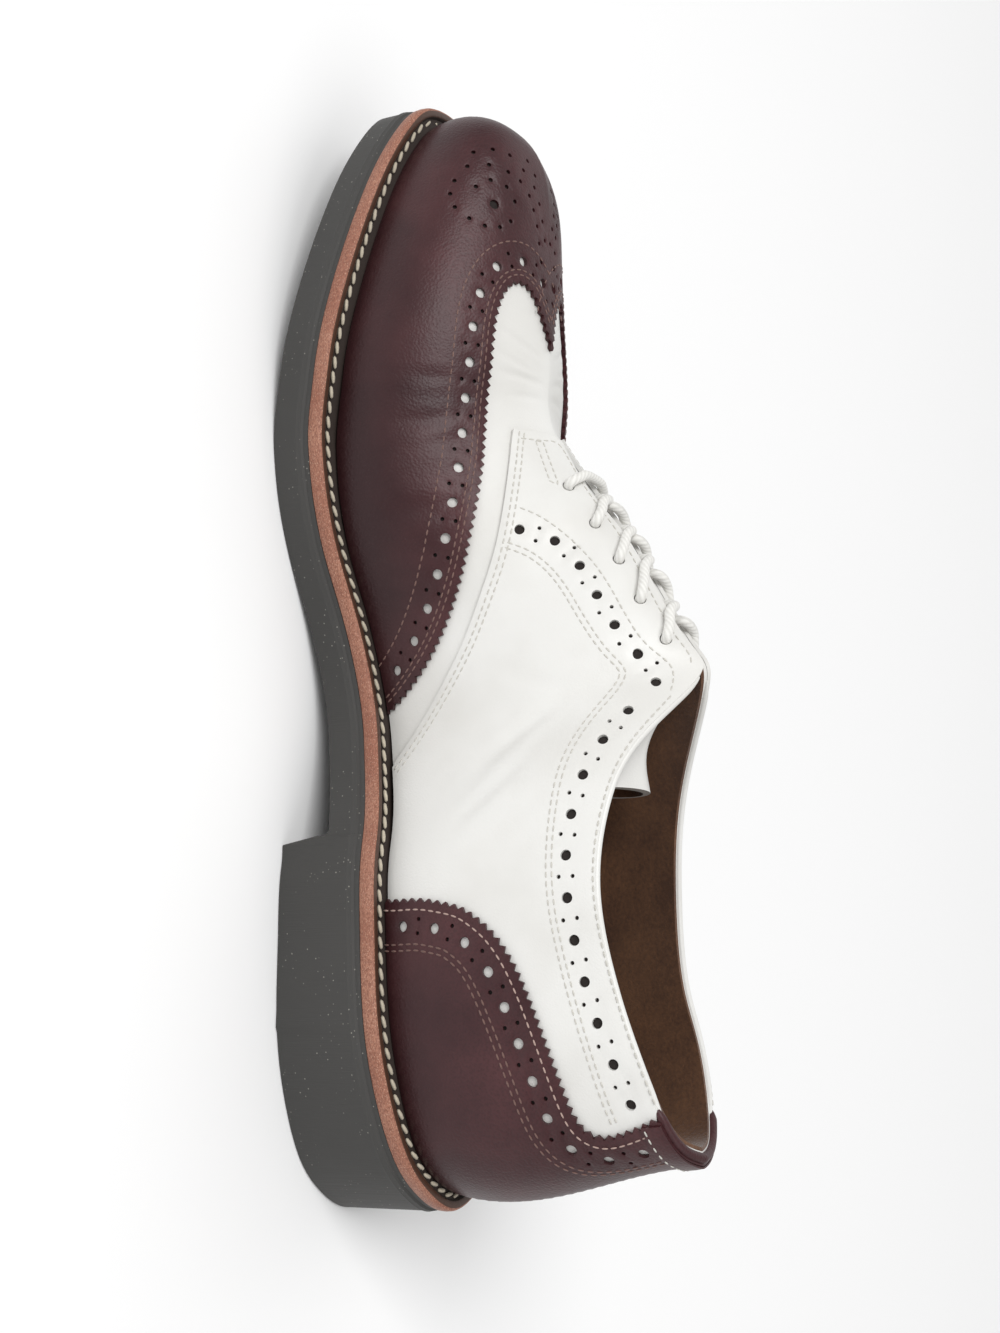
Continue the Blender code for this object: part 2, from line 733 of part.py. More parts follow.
def quarter_outline():
    edge = fine_edge(rows_of(QUARTER_FRONT))
    seam = 1.0 - QUARTER_SEAM
    back = [(seam, b) for b in up_knots()[::-1]]
    return edge + top_run(edge[-1][0], seam) + back + foot_run(seam, edge[0][0], QUARTER_FOOT_POINTS)


def counter_outline():
    edge = fine_edge(rows_of(COUNTER_EDGE))
    top = top_run(edge[-1][0], 1.0) + [(1.0, 1.0)]
    half = edge + top
    mirrored = [(2 - a, b) for a, b in half[:-1]][::-1]
    low = edge[0][0]
    return half + mirrored + foot_run(2 - low, low, COUNTER_FOOT_POINTS)


def facing_section(side, around, share):
    wrapped = around if side > 0 else -around
    up = TONGUE_LOW + (1 - TONGUE_LOW) * share
    level = -(WALL + PANEL_GAP + CLEARANCE) * NORMAL_SIGN
    return raised([wrapped], [up], level)[0]


# Tongue: a sheet under the facings, whose free end drops into the mouth of the shoe
def tongue(finish, collection):
    last = RIDGE_ROWS[-1][0] - ROUND_STEP
    shares = (0.0, 0.3, 0.6, 0.9)
    rows = []
    for around in np.linspace(TONGUE_FROM, last, TONGUE_ROWS):
        inner = [facing_section(1, around, share) for share in shares]
        outer = [facing_section(-1, around, share) for share in shares]
        crown = (inner[-1] + outer[-1]) / 2
        rows.append(inner + [crown] + outer[::-1])
    tail = np.array(rows[-1])
    for back, drop in rows_of(TONGUE_END):
        shift = np.array([-back * TONGUE_REACH, 0.0, -drop * TONGUE_DROP])
        pinch = np.array([1.0, 1.0 - TONGUE_PINCH * back, 1.0])
        rows.append(list((tail + shift) * pinch))
    points = np.array(rows)
    count = points.shape[1]
    faces = []
    for i in range(len(rows) - 1):
        for j in range(count - 1):
            faces.append((i * count + j, i * count + j + 1, (i + 1) * count + j + 1, (i + 1) * count + j))
    mesh = mesh_from("tongue", points.reshape(-1, 3), faces)
    face_outwards(mesh)
    return thicken(link("tongue", mesh, finish, collection), TONGUE_THICKNESS, -1.0)


def eyelet_rounds():
    fine = np.linspace(FIRST_EYELET, RIDGE_ROWS[-1][0], 200)
    edge = upper_point(1, fine, np.ones_like(fine))
    length = np.concatenate(([0.0], np.cumsum(np.linalg.norm(np.diff(edge, axis=0), axis=1))))
    return np.interp(np.arange(EYELET_COUNT) * EYELET_PITCH, length, fine)


def eyelet_up(around):
    ups = np.linspace(0.5, 1.0, 101)
    column_points = upper_point(1, np.full_like(ups, around), ups)
    reach = np.linalg.norm(column_points - column_points[-1], axis=1)
    return float(np.interp(EYELET_INSET, reach[::-1], ups[::-1]))


# One lace run across the throat, from above an inner eyelet to above the outer one
def lace(name, around, advance, finish, collection):
    level = PANEL_GAP + PANEL + LACE_DIAMETER / 2 + LACE_EASE
    low = eyelet_up(around)
    points = []
    for share in np.linspace(-1, 1, LACE_POINTS):
        side = 1 if share > 0 else -1
        up = 1 - abs(share) * (1 - low)
        at = around - advance * (1 - abs(share))
        if abs(share) < 1e-9:
            spot = (raised([at], [1.0], level * NORMAL_SIGN) + raised([-at], [1.0], level * NORMAL_SIGN))[0] / 2
            spot[2] += LACE_CROWN * LACE_DIAMETER
        else:
            spot = raised([side * at], [up], level * NORMAL_SIGN)[0]
        points.append(spot)
    curve = bpy.data.curves.new(name, "CURVE")
    curve.dimensions = "3D"
    curve.bevel_depth = LACE_DIAMETER / 2
    curve.bevel_resolution = LACE_SIDES
    curve.use_fill_caps = True
    run = curve.splines.new("POLY")
    run.points.add(len(points) - 1)
    for spot, point in zip(points, run.points):
        point.co = (*spot, 1.0)
    made = bpy.data.objects.new(name, curve)
    made.location.x = -HEEL_CENTRE
    made.data.materials.append(finish)
    collection.objects.link(made)
    return made


def build():
    for old in list(bpy.data.objects):
        bpy.data.objects.remove(old, do_unlink=True)
    shoe = bpy.data.collections.new("spectator_shoe")
    bpy.context.scene.collection.children.link(shoe)
    rubber = material("rubber_charcoal", (0.085, 0.083, 0.080), 0.62)
    welt_leather = material("leather_welt", (0.42, 0.19, 0.10), 0.65)
    board = material("insole_tan", (0.30, 0.17, 0.09), 0.70)
    white = material("leather_white", (0.82, 0.81, 0.78), 0.42)
    burgundy = material("leather_burgundy", (0.070, 0.028, 0.032), 0.36)
    cord = material("lace_white", (0.85, 0.84, 0.80), 0.75)
    for name, solid, finish in (("outsole", outsole(), rubber), ("welt", welt(), welt_leather),
                                ("insole", insole(), board)):
        made = link(name, solid, finish, shoe)
        made.data.shade_smooth()
        made.data.set_sharp_from_angle(angle=math.radians(35))
    upper(white, shoe)
    overlay("wing_cap", wing_outline(), PANEL_GAP, burgundy, shoe)
    quarter = quarter_outline()
    overlay("quarter_inner", quarter, PANEL_GAP, white, shoe)
    overlay("quarter_outer", [(2 - a, b) for a, b in quarter], PANEL_GAP, white, shoe)
    overlay("heel_counter", counter_outline(), 2 * PANEL_GAP + PANEL + LAYER_EASE, burgundy, shoe)
    tongue(white, shoe)
    rounds = eyelet_rounds()
    pitch_round = float(np.mean(np.diff(rounds)))
    lace("lace_bar", rounds[0], 0.0, cord, shoe)
    for k in range(1, EYELET_COUNT):
        lace(f"lace_cross_{k}", rounds[k], LACE_ADVANCE * pitch_round, cord, shoe)


build()
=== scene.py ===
import math

import bmesh
import bpy
import numpy as np
from mathutils import Matrix, Vector
from mathutils.geometry import delaunay_2d_cdt


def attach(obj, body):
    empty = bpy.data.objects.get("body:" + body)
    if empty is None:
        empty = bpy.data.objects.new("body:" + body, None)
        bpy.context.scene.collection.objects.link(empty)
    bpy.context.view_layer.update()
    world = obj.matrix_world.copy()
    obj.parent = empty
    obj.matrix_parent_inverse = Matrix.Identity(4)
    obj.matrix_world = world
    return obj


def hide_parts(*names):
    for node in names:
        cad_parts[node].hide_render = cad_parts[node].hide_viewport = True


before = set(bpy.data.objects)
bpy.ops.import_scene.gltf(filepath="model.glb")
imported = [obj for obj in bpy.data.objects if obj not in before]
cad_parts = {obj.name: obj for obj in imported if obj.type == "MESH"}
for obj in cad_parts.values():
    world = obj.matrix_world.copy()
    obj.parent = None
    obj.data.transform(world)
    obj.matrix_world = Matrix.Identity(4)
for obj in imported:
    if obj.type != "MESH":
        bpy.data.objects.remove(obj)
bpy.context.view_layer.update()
print("frame loaded", len(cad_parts), "nodes")

# Right spectator shoe: +X to the toe, +Y to the inner side, lengths in metres.
# The last's sizes and tables are those of the solids in the frame.
last = {
    "soleLength": 0.305,
    "innerWidth": 0.0508,
    "outerWidth": 0.0555,
    "heelHalfWidth": 0.0373,
    "toeSwing": 0.0115,
    "heelLength": 0.0958,
    "heelBase": 0.985,
    "heelLift": 0.0189,
    "toeSpring": 0.0193,
    "rubberThickness": 0.0109,
    "breastSlant": 0.002,
    "breastFillet": 0.0022,
    "weltThickness": 0.0038,
    "weltMargin": 0.0080,
    "wall": 0.0020,
    "instepRise": 0.086,
    "backRise": 0.065,
    "collarHalfWidth": 0.0275,
    "throatGap": 0.0025,
    "throatRound": 0.395,
    "roundStep": 0.004,
    "clearance": 0.0003,
    "heelShare": 0.158,
}
# Sole outline at the heel: station and half width, as shares of length and of heel half width
heelRows = (
    ("station", "half"),
    (0.015, 0.36),
    (0.040, 0.61),
    (0.085, 0.82),
    (0.150, 0.97),
    (0.230, 1.000),
)
# Sole outline from waist to toe: shares of length, inner width and outer width
foreRows = (
    ("station", "inner", "outer"),
    (0.300, 0.716, 0.680),
    (0.400, 0.525, 0.762),
    (0.500, 0.585, 0.900),
    (0.600, 0.860, 0.996),
    (0.680, 0.965, 0.969),
    (0.750, 1.000, 0.861),
    (0.820, 0.955, 0.699),
    (0.880, 0.870, 0.513),
    (0.930, 0.775, 0.350),
    (0.970, 0.655, 0.185),
    (0.992, 0.520, 0.020),
)
# Lift of the sole off the floor: shares of heel lift and of toe spring
liftRows = (
    ("station", "heel", "spring"),
    (0.000, 1.000, 0.0),
    (0.100, 0.880, 0.0),
    (0.200, 0.772, 0.0),
    (0.310, 0.690, 0.0),
    (0.400, 0.370, 0.0),
    (0.500, 0.111, 0.0),
    (0.580, 0.000, 0.0),
    (0.655, 0.000, 0.0),
    (0.720, 0.000, 0.137),
    (0.800, 0.000, 0.355),
    (0.900, 0.000, 0.631),
    (1.000, 0.000, 1.000),
)
# Share of the welt margin that shows along the length
marginRows = (
    ("station", "share"),
    (0.00, 0.955),
    (0.15, 1.15),
    (0.35, 1.02),
    (0.55, 0.925),
    (0.70, 1.15),
    (1.00, 0.97),
)
# Top line of the vamp and facings: share round from the toe, station as a share of length,
# rise as a share of the instep's rise, and half gap as a share of the throat gap
ridgeRows = (
    ("round", "station", "rise", "gap"),
    (0.000, 0.877, 0.401, 0.00),
    (0.100, 0.841, 0.422, 0.00),
    (0.200, 0.787, 0.458, 0.00),
    (0.300, 0.739, 0.490, 0.00),
    (0.395, 0.680, 0.552, 0.00),
    (0.440, 0.637, 0.647, 1.20),
    (0.500, 0.598, 0.747, 0.90),
    (0.560, 0.551, 0.852, 0.80),
    (0.610, 0.483, 0.966, 0.90),
    (0.655, 0.450, 0.999, 1.00),
)
# Collar: share round, station, rise as a share of the back's rise, half width share
collarRows = (
    ("round", "station", "rise", "half"),
    (0.700, 0.394, 1.117, 0.575),
    (0.750, 0.335, 0.948, 0.835),
    (0.810, 0.262, 0.896, 0.925),
    (0.870, 0.190, 0.934, 0.830),
    (0.925, 0.128, 1.005, 0.748),
    (0.965, 0.069, 1.066, 0.436),
    (1.000, 0.053, 1.103, 0.000),
)
# Fullness of each section: handle lengths as shares of the section's width, lean of the foot
# handle outwards, and fall of the top handle in degrees below level
fullnessRows = (
    ("round", "foot", "lean", "top", "fall"),
    (0.000, 0.475, 0.395, 0.583, -4.4),
    (0.150, 0.440, 0.250, 0.464, -0.3),
    (0.300, 0.42, 0.20, 0.307, 5.7),
    (0.400, 0.42, 0.18, 0.210, 11.8),
    (0.500, 0.40, 0.14, 0.279, 25.4),
    (0.600, 0.36, 0.12, 0.321, 44.5),
    (0.660, 0.32, 0.14, 0.339, 58.0),
    (0.750, 0.32, 0.177, 0.33, 76.0),
    (0.850, 0.34, 0.202, 0.33, 80.0),
    (1.000, 0.36, 0.280, 0.36, 86.0),
)
# Overlay outlines: share round from the toe and share of the way up from the welt
wingEdge = (
    ("round", "up"),
    (0.575, 0.000),
    (0.560, 0.084),
    (0.537, 0.200),
    (0.508, 0.300),
    (0.470, 0.388),
    (0.438, 0.455),
    (0.401, 0.536),
    (0.361, 0.605),
    (0.301, 0.640),
    (0.239, 0.660),
    (0.205, 0.690),
    (0.183, 0.735),
    (0.172, 0.790),
    (0.171, 0.840),
    (0.180, 0.890),
    (0.200, 0.932),
    (0.230, 0.972),
    (0.256, 1.000),
)
quarterFront = (
    ("round", "up"),
    (0.622, 0.000),
    (0.606, 0.058),
    (0.583, 0.145),
    (0.559, 0.244),
    (0.536, 0.330),
    (0.506, 0.408),
    (0.473, 0.485),
    (0.439, 0.559),
    (0.409, 0.628),
    (0.373, 0.715),
    (0.384, 0.840),
    (0.394, 0.950),
    (0.400, 1.000),
)
counterEdge = (
    ("round", "up"),
    (0.738, 0.000),
    (0.744, 0.158),
    (0.757, 0.280),
    (0.773, 0.387),
    (0.790, 0.470),
    (0.808, 0.545),
    (0.828, 0.605),
    (0.850, 0.645),
    (0.880, 0.674),
    (0.910, 0.692),
    (0.932, 0.700),
    (0.947, 0.714),
    (0.955, 0.762),
    (0.956, 0.850),
    (0.954, 0.930),
    (0.951, 1.000),
)


def column(table, name):
    head = table[0].index(name)
    return np.array([row[head] for row in table[1:]])


def unit(rows):
    return rows / np.linalg.norm(rows, axis=1)[:, None]


# Distance walked along a row of points
def walked(points):
    return np.concatenate(([0.0], np.cumsum(np.linalg.norm(np.diff(points, axis=0), axis=1))))


def sampled(at, knots, rows):
    return np.column_stack([np.interp(at, knots, rows[:, k]) for k in range(rows.shape[1])])


# Smooth curve through rows of values, natural at both ends or closed
class Curve:
    def __init__(self, knots, values, closed=False):
        self.knots = np.asarray(knots, float)
        self.values = np.asarray(values, float).reshape(len(self.knots), -1)
        self.closed = closed
        count = len(self.knots)
        step = np.diff(self.knots)
        matrix = np.eye(count)
        right = np.zeros_like(self.values)
        for i in range(1, count - 1):
            matrix[i, i - 1:i + 2] = (step[i - 1], 2 * (step[i - 1] + step[i]), step[i])
            right[i] = 6 * (self.rise(i, step) - self.rise(i - 1, step))
        if closed:
            matrix[0, :] = 0
            matrix[0, 0] = 2 * (step[0] + step[-1])
            matrix[0, 1] = step[0]
            matrix[0, -2] = step[-1]
            right[0] = 6 * (self.rise(0, step) - self.rise(count - 2, step))
            matrix[-1, :] = 0
            matrix[-1, 0] = 1
            matrix[-1, -1] = -1
        self.bend = np.linalg.solve(matrix, right)

    def rise(self, i, step):
        return (self.values[i + 1] - self.values[i]) / step[i]

    def __call__(self, at):
        at = np.atleast_1d(np.asarray(at, float))
        i = np.clip(np.searchsorted(self.knots, at, side="right") - 1, 0, len(self.knots) - 2)
        span = (self.knots[i + 1] - self.knots[i])[:, None]
        a = (self.knots[i + 1][:, None] - at[:, None]) / span
        b = 1 - a
        curve = a * self.values[i] + b * self.values[i + 1]
        return curve + ((a ** 3 - a) * self.bend[i] + (b ** 3 - b) * self.bend[i + 1]) * span ** 2 / 6


# Level-keeping curve through a table's rows, which never overshoots a row
def steady(xs, ys):
    xs = np.asarray(xs, float)
    ys = np.asarray(ys, float)
    step = np.diff(xs)
    slope = np.diff(ys) / step
    tangent = np.zeros_like(ys)
    tangent[0] = slope[0]
    tangent[-1] = slope[-1]
    for i in range(1, len(xs) - 1):
        if slope[i - 1] * slope[i] > 0:
            wide = 2 * step[i] + step[i - 1]
            near = step[i] + 2 * step[i - 1]
            tangent[i] = (wide + near) / (wide / slope[i - 1] + near / slope[i])

    def value(x):
        x = np.clip(np.asarray(x, float), xs[0], xs[-1])
        i = np.clip(np.searchsorted(xs, x, side="right") - 1, 0, len(xs) - 2)
        h = step[i]
        u = (x - xs[i]) / h
        first = ys[i] * (1 + 2 * u) * (1 - u) ** 2 + h * tangent[i] * u * (1 - u) ** 2
        return first + ys[i + 1] * u * u * (3 - 2 * u) + h * tangent[i + 1] * u * u * (u - 1)

    return value


def chordKnots(points):
    lengths = np.linalg.norm(np.diff(points, axis=0), axis=1)
    return np.concatenate(([0.0], np.cumsum(np.sqrt(lengths))))


# Sole outline, a closed curve from the toe tip by the inner side and the heel
def outlineCurve():
    fore = column(foreRows, "station") * last["soleLength"]
    inner = column(foreRows, "inner") * last["innerWidth"]
    outer = column(foreRows, "outer") * last["outerWidth"]
    heel = column(heelRows, "station") * last["soleLength"]
    half = column(heelRows, "half") * last["heelHalfWidth"]
    points = [(last["soleLength"], last["toeSwing"])]
    points += list(zip(fore[::-1], inner[::-1]))
    points += list(zip(heel[::-1], half[::-1]))
    points += [(0.0, 0.0)]
    points += list(zip(heel, -half))
    points += list(zip(fore, -outer))
    points += [(last["soleLength"], last["toeSwing"])]
    points = np.array(points)
    return Curve(chordKnots(points), points, closed=True)


# Evenly spaced points of the outline moved inwards, from toe tip by the inner side and back
def outlineLoop(inset, count=720):
    curve = outlineCurve()
    fine = curve(np.linspace(0, curve.knots[-1], 4001))
    length = walked(fine)
    loop = sampled(np.linspace(0, length[-1], count + 1), length, fine)[:-1]
    ahead = unit(np.roll(loop, -1, axis=0) - np.roll(loop, 1, axis=0))
    outwards = np.column_stack((ahead[:, 1], -ahead[:, 0]))
    distance = inset(loop[:, 0]) if callable(inset) else inset
    return loop - outwards * np.reshape(distance, (-1, 1))


# The loop turned to start at its toe, and the index of its heel
def fromToe(loop):
    loop = np.roll(loop, -int(np.argmax(loop[:, 0])), axis=0)
    return loop, int(np.argmin(loop[:, 0]))


marginShare = steady(column(marginRows, "station"), column(marginRows, "share"))
heelShare = steady(column(liftRows, "station"), column(liftRows, "heel"))
springShare = steady(column(liftRows, "station"), column(liftRows, "spring"))


def lift(x):
    station = np.asarray(x) / last["soleLength"]
    return heelShare(station) * last["heelLift"] + springShare(station) * last["toeSpring"]


# Width of the welt that shows outside the upper
def weltRim(x):
    return last["weltMargin"] * marginShare(x / last["soleLength"])


def rubberTop(x):
    return last["rubberThickness"] + lift(x)


def weltTop(x):
    return rubberTop(x) + last["clearance"] + last["weltThickness"]


def centreLine(x):
    ahead = np.clip((np.asarray(x) / last["soleLength"] - 0.55) / 0.45, 0, 1)
    return last["toeSwing"] * ahead ** 1.5


# Inner and outer half of the feather line, as curves of the share round from toe to heel
def featherCurves():
    loop, heel = fromToe(outlineLoop(weltRim))
    at = np.linspace(0, 1, 33)
    halves = {}
    for side, half in ((1, loop[:heel + 1]), (-1, np.vstack((loop[:1], loop[heel:][::-1])))):
        length = walked(half)
        halves[side] = Curve(at, sampled(at * length[-1], length, half))
    return halves


featherLine = featherCurves()


def topCurves():
    ridgeX = column(ridgeRows, "station") * last["soleLength"]
    ridgeZ = weltTop(ridgeX) + column(ridgeRows, "rise") * last["instepRise"]
    gap = column(ridgeRows, "gap") * last["throatGap"]
    collarX = column(collarRows, "station") * last["soleLength"]
    collarZ = weltTop(collarX) + column(collarRows, "rise") * last["backRise"]
    half = column(collarRows, "half") * last["collarHalfWidth"]
    around = np.concatenate((column(ridgeRows, "round"), column(collarRows, "round")))
    x = np.concatenate((ridgeX, collarX))
    z = np.concatenate((ridgeZ, collarZ))
    y = np.concatenate((gap, half))
    return Curve(around, np.column_stack((x, y, z)))


topLine = topCurves()
fullness = {name: steady(column(fullnessRows, "round"), column(fullnessRows, name))
            for name in ("foot", "lean", "top", "fall")}


# Point of the upper's outer face: side +1 inner or -1 outer, share round, share of the way up
def upperPoint(side, around, up):
    around = np.atleast_1d(np.asarray(around, float))
    up = np.atleast_1d(np.asarray(up, float))
    line = featherLine[side]
    step = last["roundStep"]
    foot = line(around)
    ahead = unit(line(np.clip(around + step, 0, 1)) - line(np.clip(around - step, 0, 1)))
    out = side * np.column_stack((-ahead[:, 1], ahead[:, 0]))
    out = np.where(np.sum(out * (foot - [last["soleLength"] / 2, 0]), axis=1)[:, None] < 0, -out, out)
    atEnd = (around < 1e-6) | (around > 1 - 1e-6)
    out[atEnd] = np.column_stack((np.where(around[atEnd] < 0.5, 1.0, -1.0), np.zeros(atEnd.sum())))
    foot = np.column_stack((foot, weltTop(foot[:, 0]) + last["clearance"]))
    top = topLine(around)
    gap = np.where(around <= last["throatRound"] + 1e-9, 0.0, np.maximum(top[:, 1], 0))
    top[:, 1] = centreLine(top[:, 0]) + side * gap
    before = topLine(np.clip(around - 0.01, 0, 1))
    after = topLine(np.clip(around + 0.01, 0, 1))
    slope = (after[:, 2] - before[:, 2]) / (after[:, 0] - before[:, 0])
    level = np.clip((0.60 - around) / 0.2, 0, 1)
    width = np.linalg.norm(top - foot, axis=1)[:, None]
    lean = fullness["lean"](around)[:, None]
    rise = np.column_stack((out * lean, np.ones(len(around))))
    low = foot + rise * width * fullness["foot"](around)[:, None]
    fall = np.radians(fullness["fall"](around))
    over = np.column_stack((out * np.cos(fall)[:, None], -np.sin(fall)))
    over[:, 2] += out[:, 0] * slope * level
    high = top + over * width * fullness["top"](around)[:, None]
    t = up[:, None]
    return (foot * (1 - t) ** 3 + 3 * low * t * (1 - t) ** 2
            + 3 * high * t * t * (1 - t) + top * t ** 3)


# The same point from one signed share: 0 toe, 1 heel, below 0 and above 1 the outer side
def surface(wrapped, up):
    wrapped = np.atleast_1d(np.asarray(wrapped, float))
    up = np.broadcast_to(np.asarray(up, float), wrapped.shape)
    inner = (wrapped >= 0) & (wrapped <= 1)
    around = np.where(wrapped < 0, -wrapped, np.where(wrapped > 1, 2 - wrapped, wrapped))
    points = np.empty((len(wrapped), 3))
    for side, mask in ((1, inner), (-1, ~inner)):
        if mask.any():
            points[mask] = upperPoint(side, around[mask], up[mask])
    return points


def surfaceNormal(wrapped, up):
    wrapped = np.atleast_1d(np.asarray(wrapped, float))
    up = np.clip(np.broadcast_to(np.asarray(up, float), wrapped.shape), 0.01, 0.985)
    along = surface(wrapped + last["roundStep"], up) - surface(wrapped - last["roundStep"], up)
    across = surface(wrapped, up + 0.01) - surface(wrapped, up - 0.01)
    return unit(np.cross(along, across))


outSign = 1.0 if surfaceNormal([0.5], [0.4])[0, 1] > 0 else -1.0


# Inner and outer edge of the outline at a station, moved inwards
def edgePair(inset, xs):
    loop, heel = fromToe(outlineLoop(inset))
    inner = loop[:heel + 1][::-1]
    outer = np.vstack((loop[heel:], loop[:1]))
    low = loop[:, 0].min()
    high = loop[:, 0].max()
    at = low + (high - low) * np.asarray(xs) / last["soleLength"]
    return at, np.interp(at, inner[:, 0], inner[:, 1]), np.interp(at, outer[:, 0], outer[:, 1])


# The frame's origin lies this far in front of the outline's back end
heelCentre = last["heelShare"] * last["soleLength"]
flatScale = np.array([0.32, 0.09])  # flat length of one whole way round and one whole way up
nudge = {"round": 0.003, "up": 0.006}  # steps over which slopes are taken


# Moves in metres along the surface at each spot, as changes of (round, up)
def toShares(spots, moves):
    ds, du = nudge["round"], nudge["up"]
    s, u = spots[:, 0], np.clip(spots[:, 1], du, 1 - du)
    alongRound = (surface(s + ds, u) - surface(s - ds, u)) / (2 * ds)
    alongUp = (surface(s, u + du) - surface(s, u - du)) / (2 * du)
    rr = np.sum(alongRound ** 2, axis=1)
    uu = np.sum(alongUp ** 2, axis=1)
    ru = np.sum(alongRound * alongUp, axis=1)
    mr = np.sum(alongRound * moves, axis=1)
    mu = np.sum(alongUp * moves, axis=1)
    det = rr * uu - ru ** 2
    return np.column_stack(((mr * uu - mu * ru) / det, (mu * rr - mr * ru) / det))


# Outward direction; both sides share it along the closed ridge
def outNormal(spots):
    found = surfaceNormal(spots[:, 0], spots[:, 1]) * outSign
    closed = onRidge(spots)
    if closed.any():
        other = surfaceNormal(-spots[closed, 0], spots[closed, 1]) * outSign
        found[closed] = unit(found[closed] + other)
    return found


closedRound = last["throatRound"] - 0.0005  # both sides meet on the ridge up to this share round


def onRidge(spots):
    return (spots[:, 1] > 0.9995) & (np.abs(spots[:, 0]) < closedRound)


# Soft troughs of the worn leather: two ends as round and up, half width and depth in metres
creases = (
    ("round", "up", "toRound", "toUp", "half", "depth"),
    (0.235, 0.640, 0.270, 0.960, 0.0016, 0.00035),
    (0.262, 0.630, 0.300, 0.900, 0.0013, 0.00030),
    (0.292, 0.650, 0.318, 0.960, 0.0018, 0.00040),
    (0.330, 0.700, 0.345, 0.980, 0.0015, 0.00030),
    (0.360, 0.350, 0.372, 0.600, 0.0020, 0.00035),
    (0.400, 0.150, 0.418, 0.420, 0.0024, 0.00045),
    (0.430, 0.120, 0.452, 0.360, 0.0020, 0.00035),
    (0.330, 0.200, 0.345, 0.480, 0.0022, 0.00035),
    (0.290, 0.260, 0.300, 0.500, 0.0018, 0.00025),
    (0.660, 0.300, 0.640, 0.620, 0.0030, 0.00050),
    (0.700, 0.260, 0.690, 0.560, 0.0026, 0.00040),
    (0.585, 0.420, 0.640, 0.620, 0.0026, 0.00035),
)


# Height of the troughs at each spot, with low swellings beside them; a little nearer the toe on the outer side
def crumple(s, u):
    s = np.where(s < 0, -s * 1.01, np.where(s > 1, (2 - s) * 1.012, s))
    spots = np.column_stack((s, u)) * flatScale
    depth = np.zeros(len(s))
    for s0, u0, s1, u1, half, deep in creases[1:]:
        a = np.array([s0, u0]) * flatScale
        run = np.array([s1, u1]) * flatScale - a
        t = np.clip(((spots - a) @ run) / (run @ run), 0, 1)
        away = np.linalg.norm(spots - a - t[:, None] * run, axis=1) / half
        ends = np.sin(math.pi * np.clip(t, 0.02, 0.98))
        depth += deep * ends * (np.exp(-away ** 2) - 0.45 * np.exp(-(away - 1.9) ** 2))
    return -depth


# Point over the leather: height above the upper's outer face, in metres
def over(spots, level):
    spots = np.asarray(spots, float).reshape(-1, 2)
    height = np.reshape(level, -1) + crumple(spots[:, 0], spots[:, 1])
    return surface(spots[:, 0], spots[:, 1]) + outNormal(spots) * height[:, None]


# Line over the upper through (round, up) rows, walked by its real length
class Trail:
    def __init__(self, rows, smooth=True, count=500):
        rows = np.array(rows, float)
        if smooth and len(rows) > 2:
            curve = Curve(chordKnots(rows * flatScale), rows)
            self.spots = curve(np.linspace(0, curve.knots[-1], count))
        else:
            self.spots = sampled(np.linspace(0, len(rows) - 1, count), np.arange(len(rows)), rows)
        self.measure()

    def measure(self):
        self.points = surface(self.spots[:, 0], np.clip(self.spots[:, 1], 0, 1))
        steps = np.linalg.norm(np.diff(self.points, axis=0), axis=1)
        self.length = np.concatenate(([0.0], np.cumsum(np.maximum(steps, 1e-9))))
        self.total = self.length[-1]

    def at(self, distance):
        return sampled(np.atleast_1d(distance), self.length, self.spots)

    # Distances a whole number of pitches apart, between margins at both ends
    def every(self, pitch, start=0.0, stop=0.0):
        count = max(1, int(round((self.total - start - stop) / pitch)))
        return start + (self.total - start - stop) * np.arange(count + 1) / count

    def sideways(self):
        ahead = np.gradient(self.points, axis=0)
        side = np.cross(outNormal(self.spots), ahead)
        return side / np.maximum(np.linalg.norm(side, axis=1), 1e-9)[:, None]

    # Spots of another version of this line beside the given distances
    def beside(self, other, distance):
        whole = np.arange(len(self.length))
        return sampled(np.interp(distance, self.length, whole), whole, other.spots)

    # The line moved over the surface: positive is to the left, seen from outside
    def moved(self, distance, steps=4):
        spots = self.spots
        side = self.sideways()
        for _ in range(steps):
            spots = spots + toShares(spots, side * distance / steps)
        return Trail(spots, smooth=False, count=len(spots))

    def mirrored(self, about=0):
        spots = np.column_stack((2 * about - self.spots[:, 0], self.spots[:, 1]))
        return Trail(spots, smooth=False, count=len(spots))


pinking = {"pitch": 0.0025, "depth": 0.0012, "stop": 0.001}


# Zigzag of a pinked edge along a trail
def pinked(trail):
    at = trail.every(pinking["pitch"] / 2, stop=pinking["stop"])
    spots = trail.at(at)
    side = sampled(at, trail.length, trail.sideways())
    swing = np.where(np.arange(len(at)) % 2 == 0, -0.5, 0.5) * pinking["depth"]
    return spots + toShares(spots, side * swing[:, None])


# Which spots lie inside a flat loop: an edge to one side of a spot flips its answer
def insideLoop(loop, spots):
    hit = np.zeros(len(spots), bool)
    x, y = spots[:, 0], spots[:, 1]
    for (x1, y1), (x2, y2) in zip(loop, np.roll(loop, 1, axis=0)):
        if y1 != y2:
            hit ^= ((y1 > y) != (y2 > y)) & (x < (x2 - x1) * (y - y1) / (y2 - y1) + x1)
    return hit


# Distance from each spot to the nearest of the others, a few of them at a time
def nearest(spots, others):
    found = np.full(len(spots), 1e9)
    for i in range(0, len(others), 64):
        gap = np.linalg.norm(spots[:, None, :] - others[None, i:i + 64, :], axis=2)
        found = np.minimum(found, gap.min(axis=1))
    return found


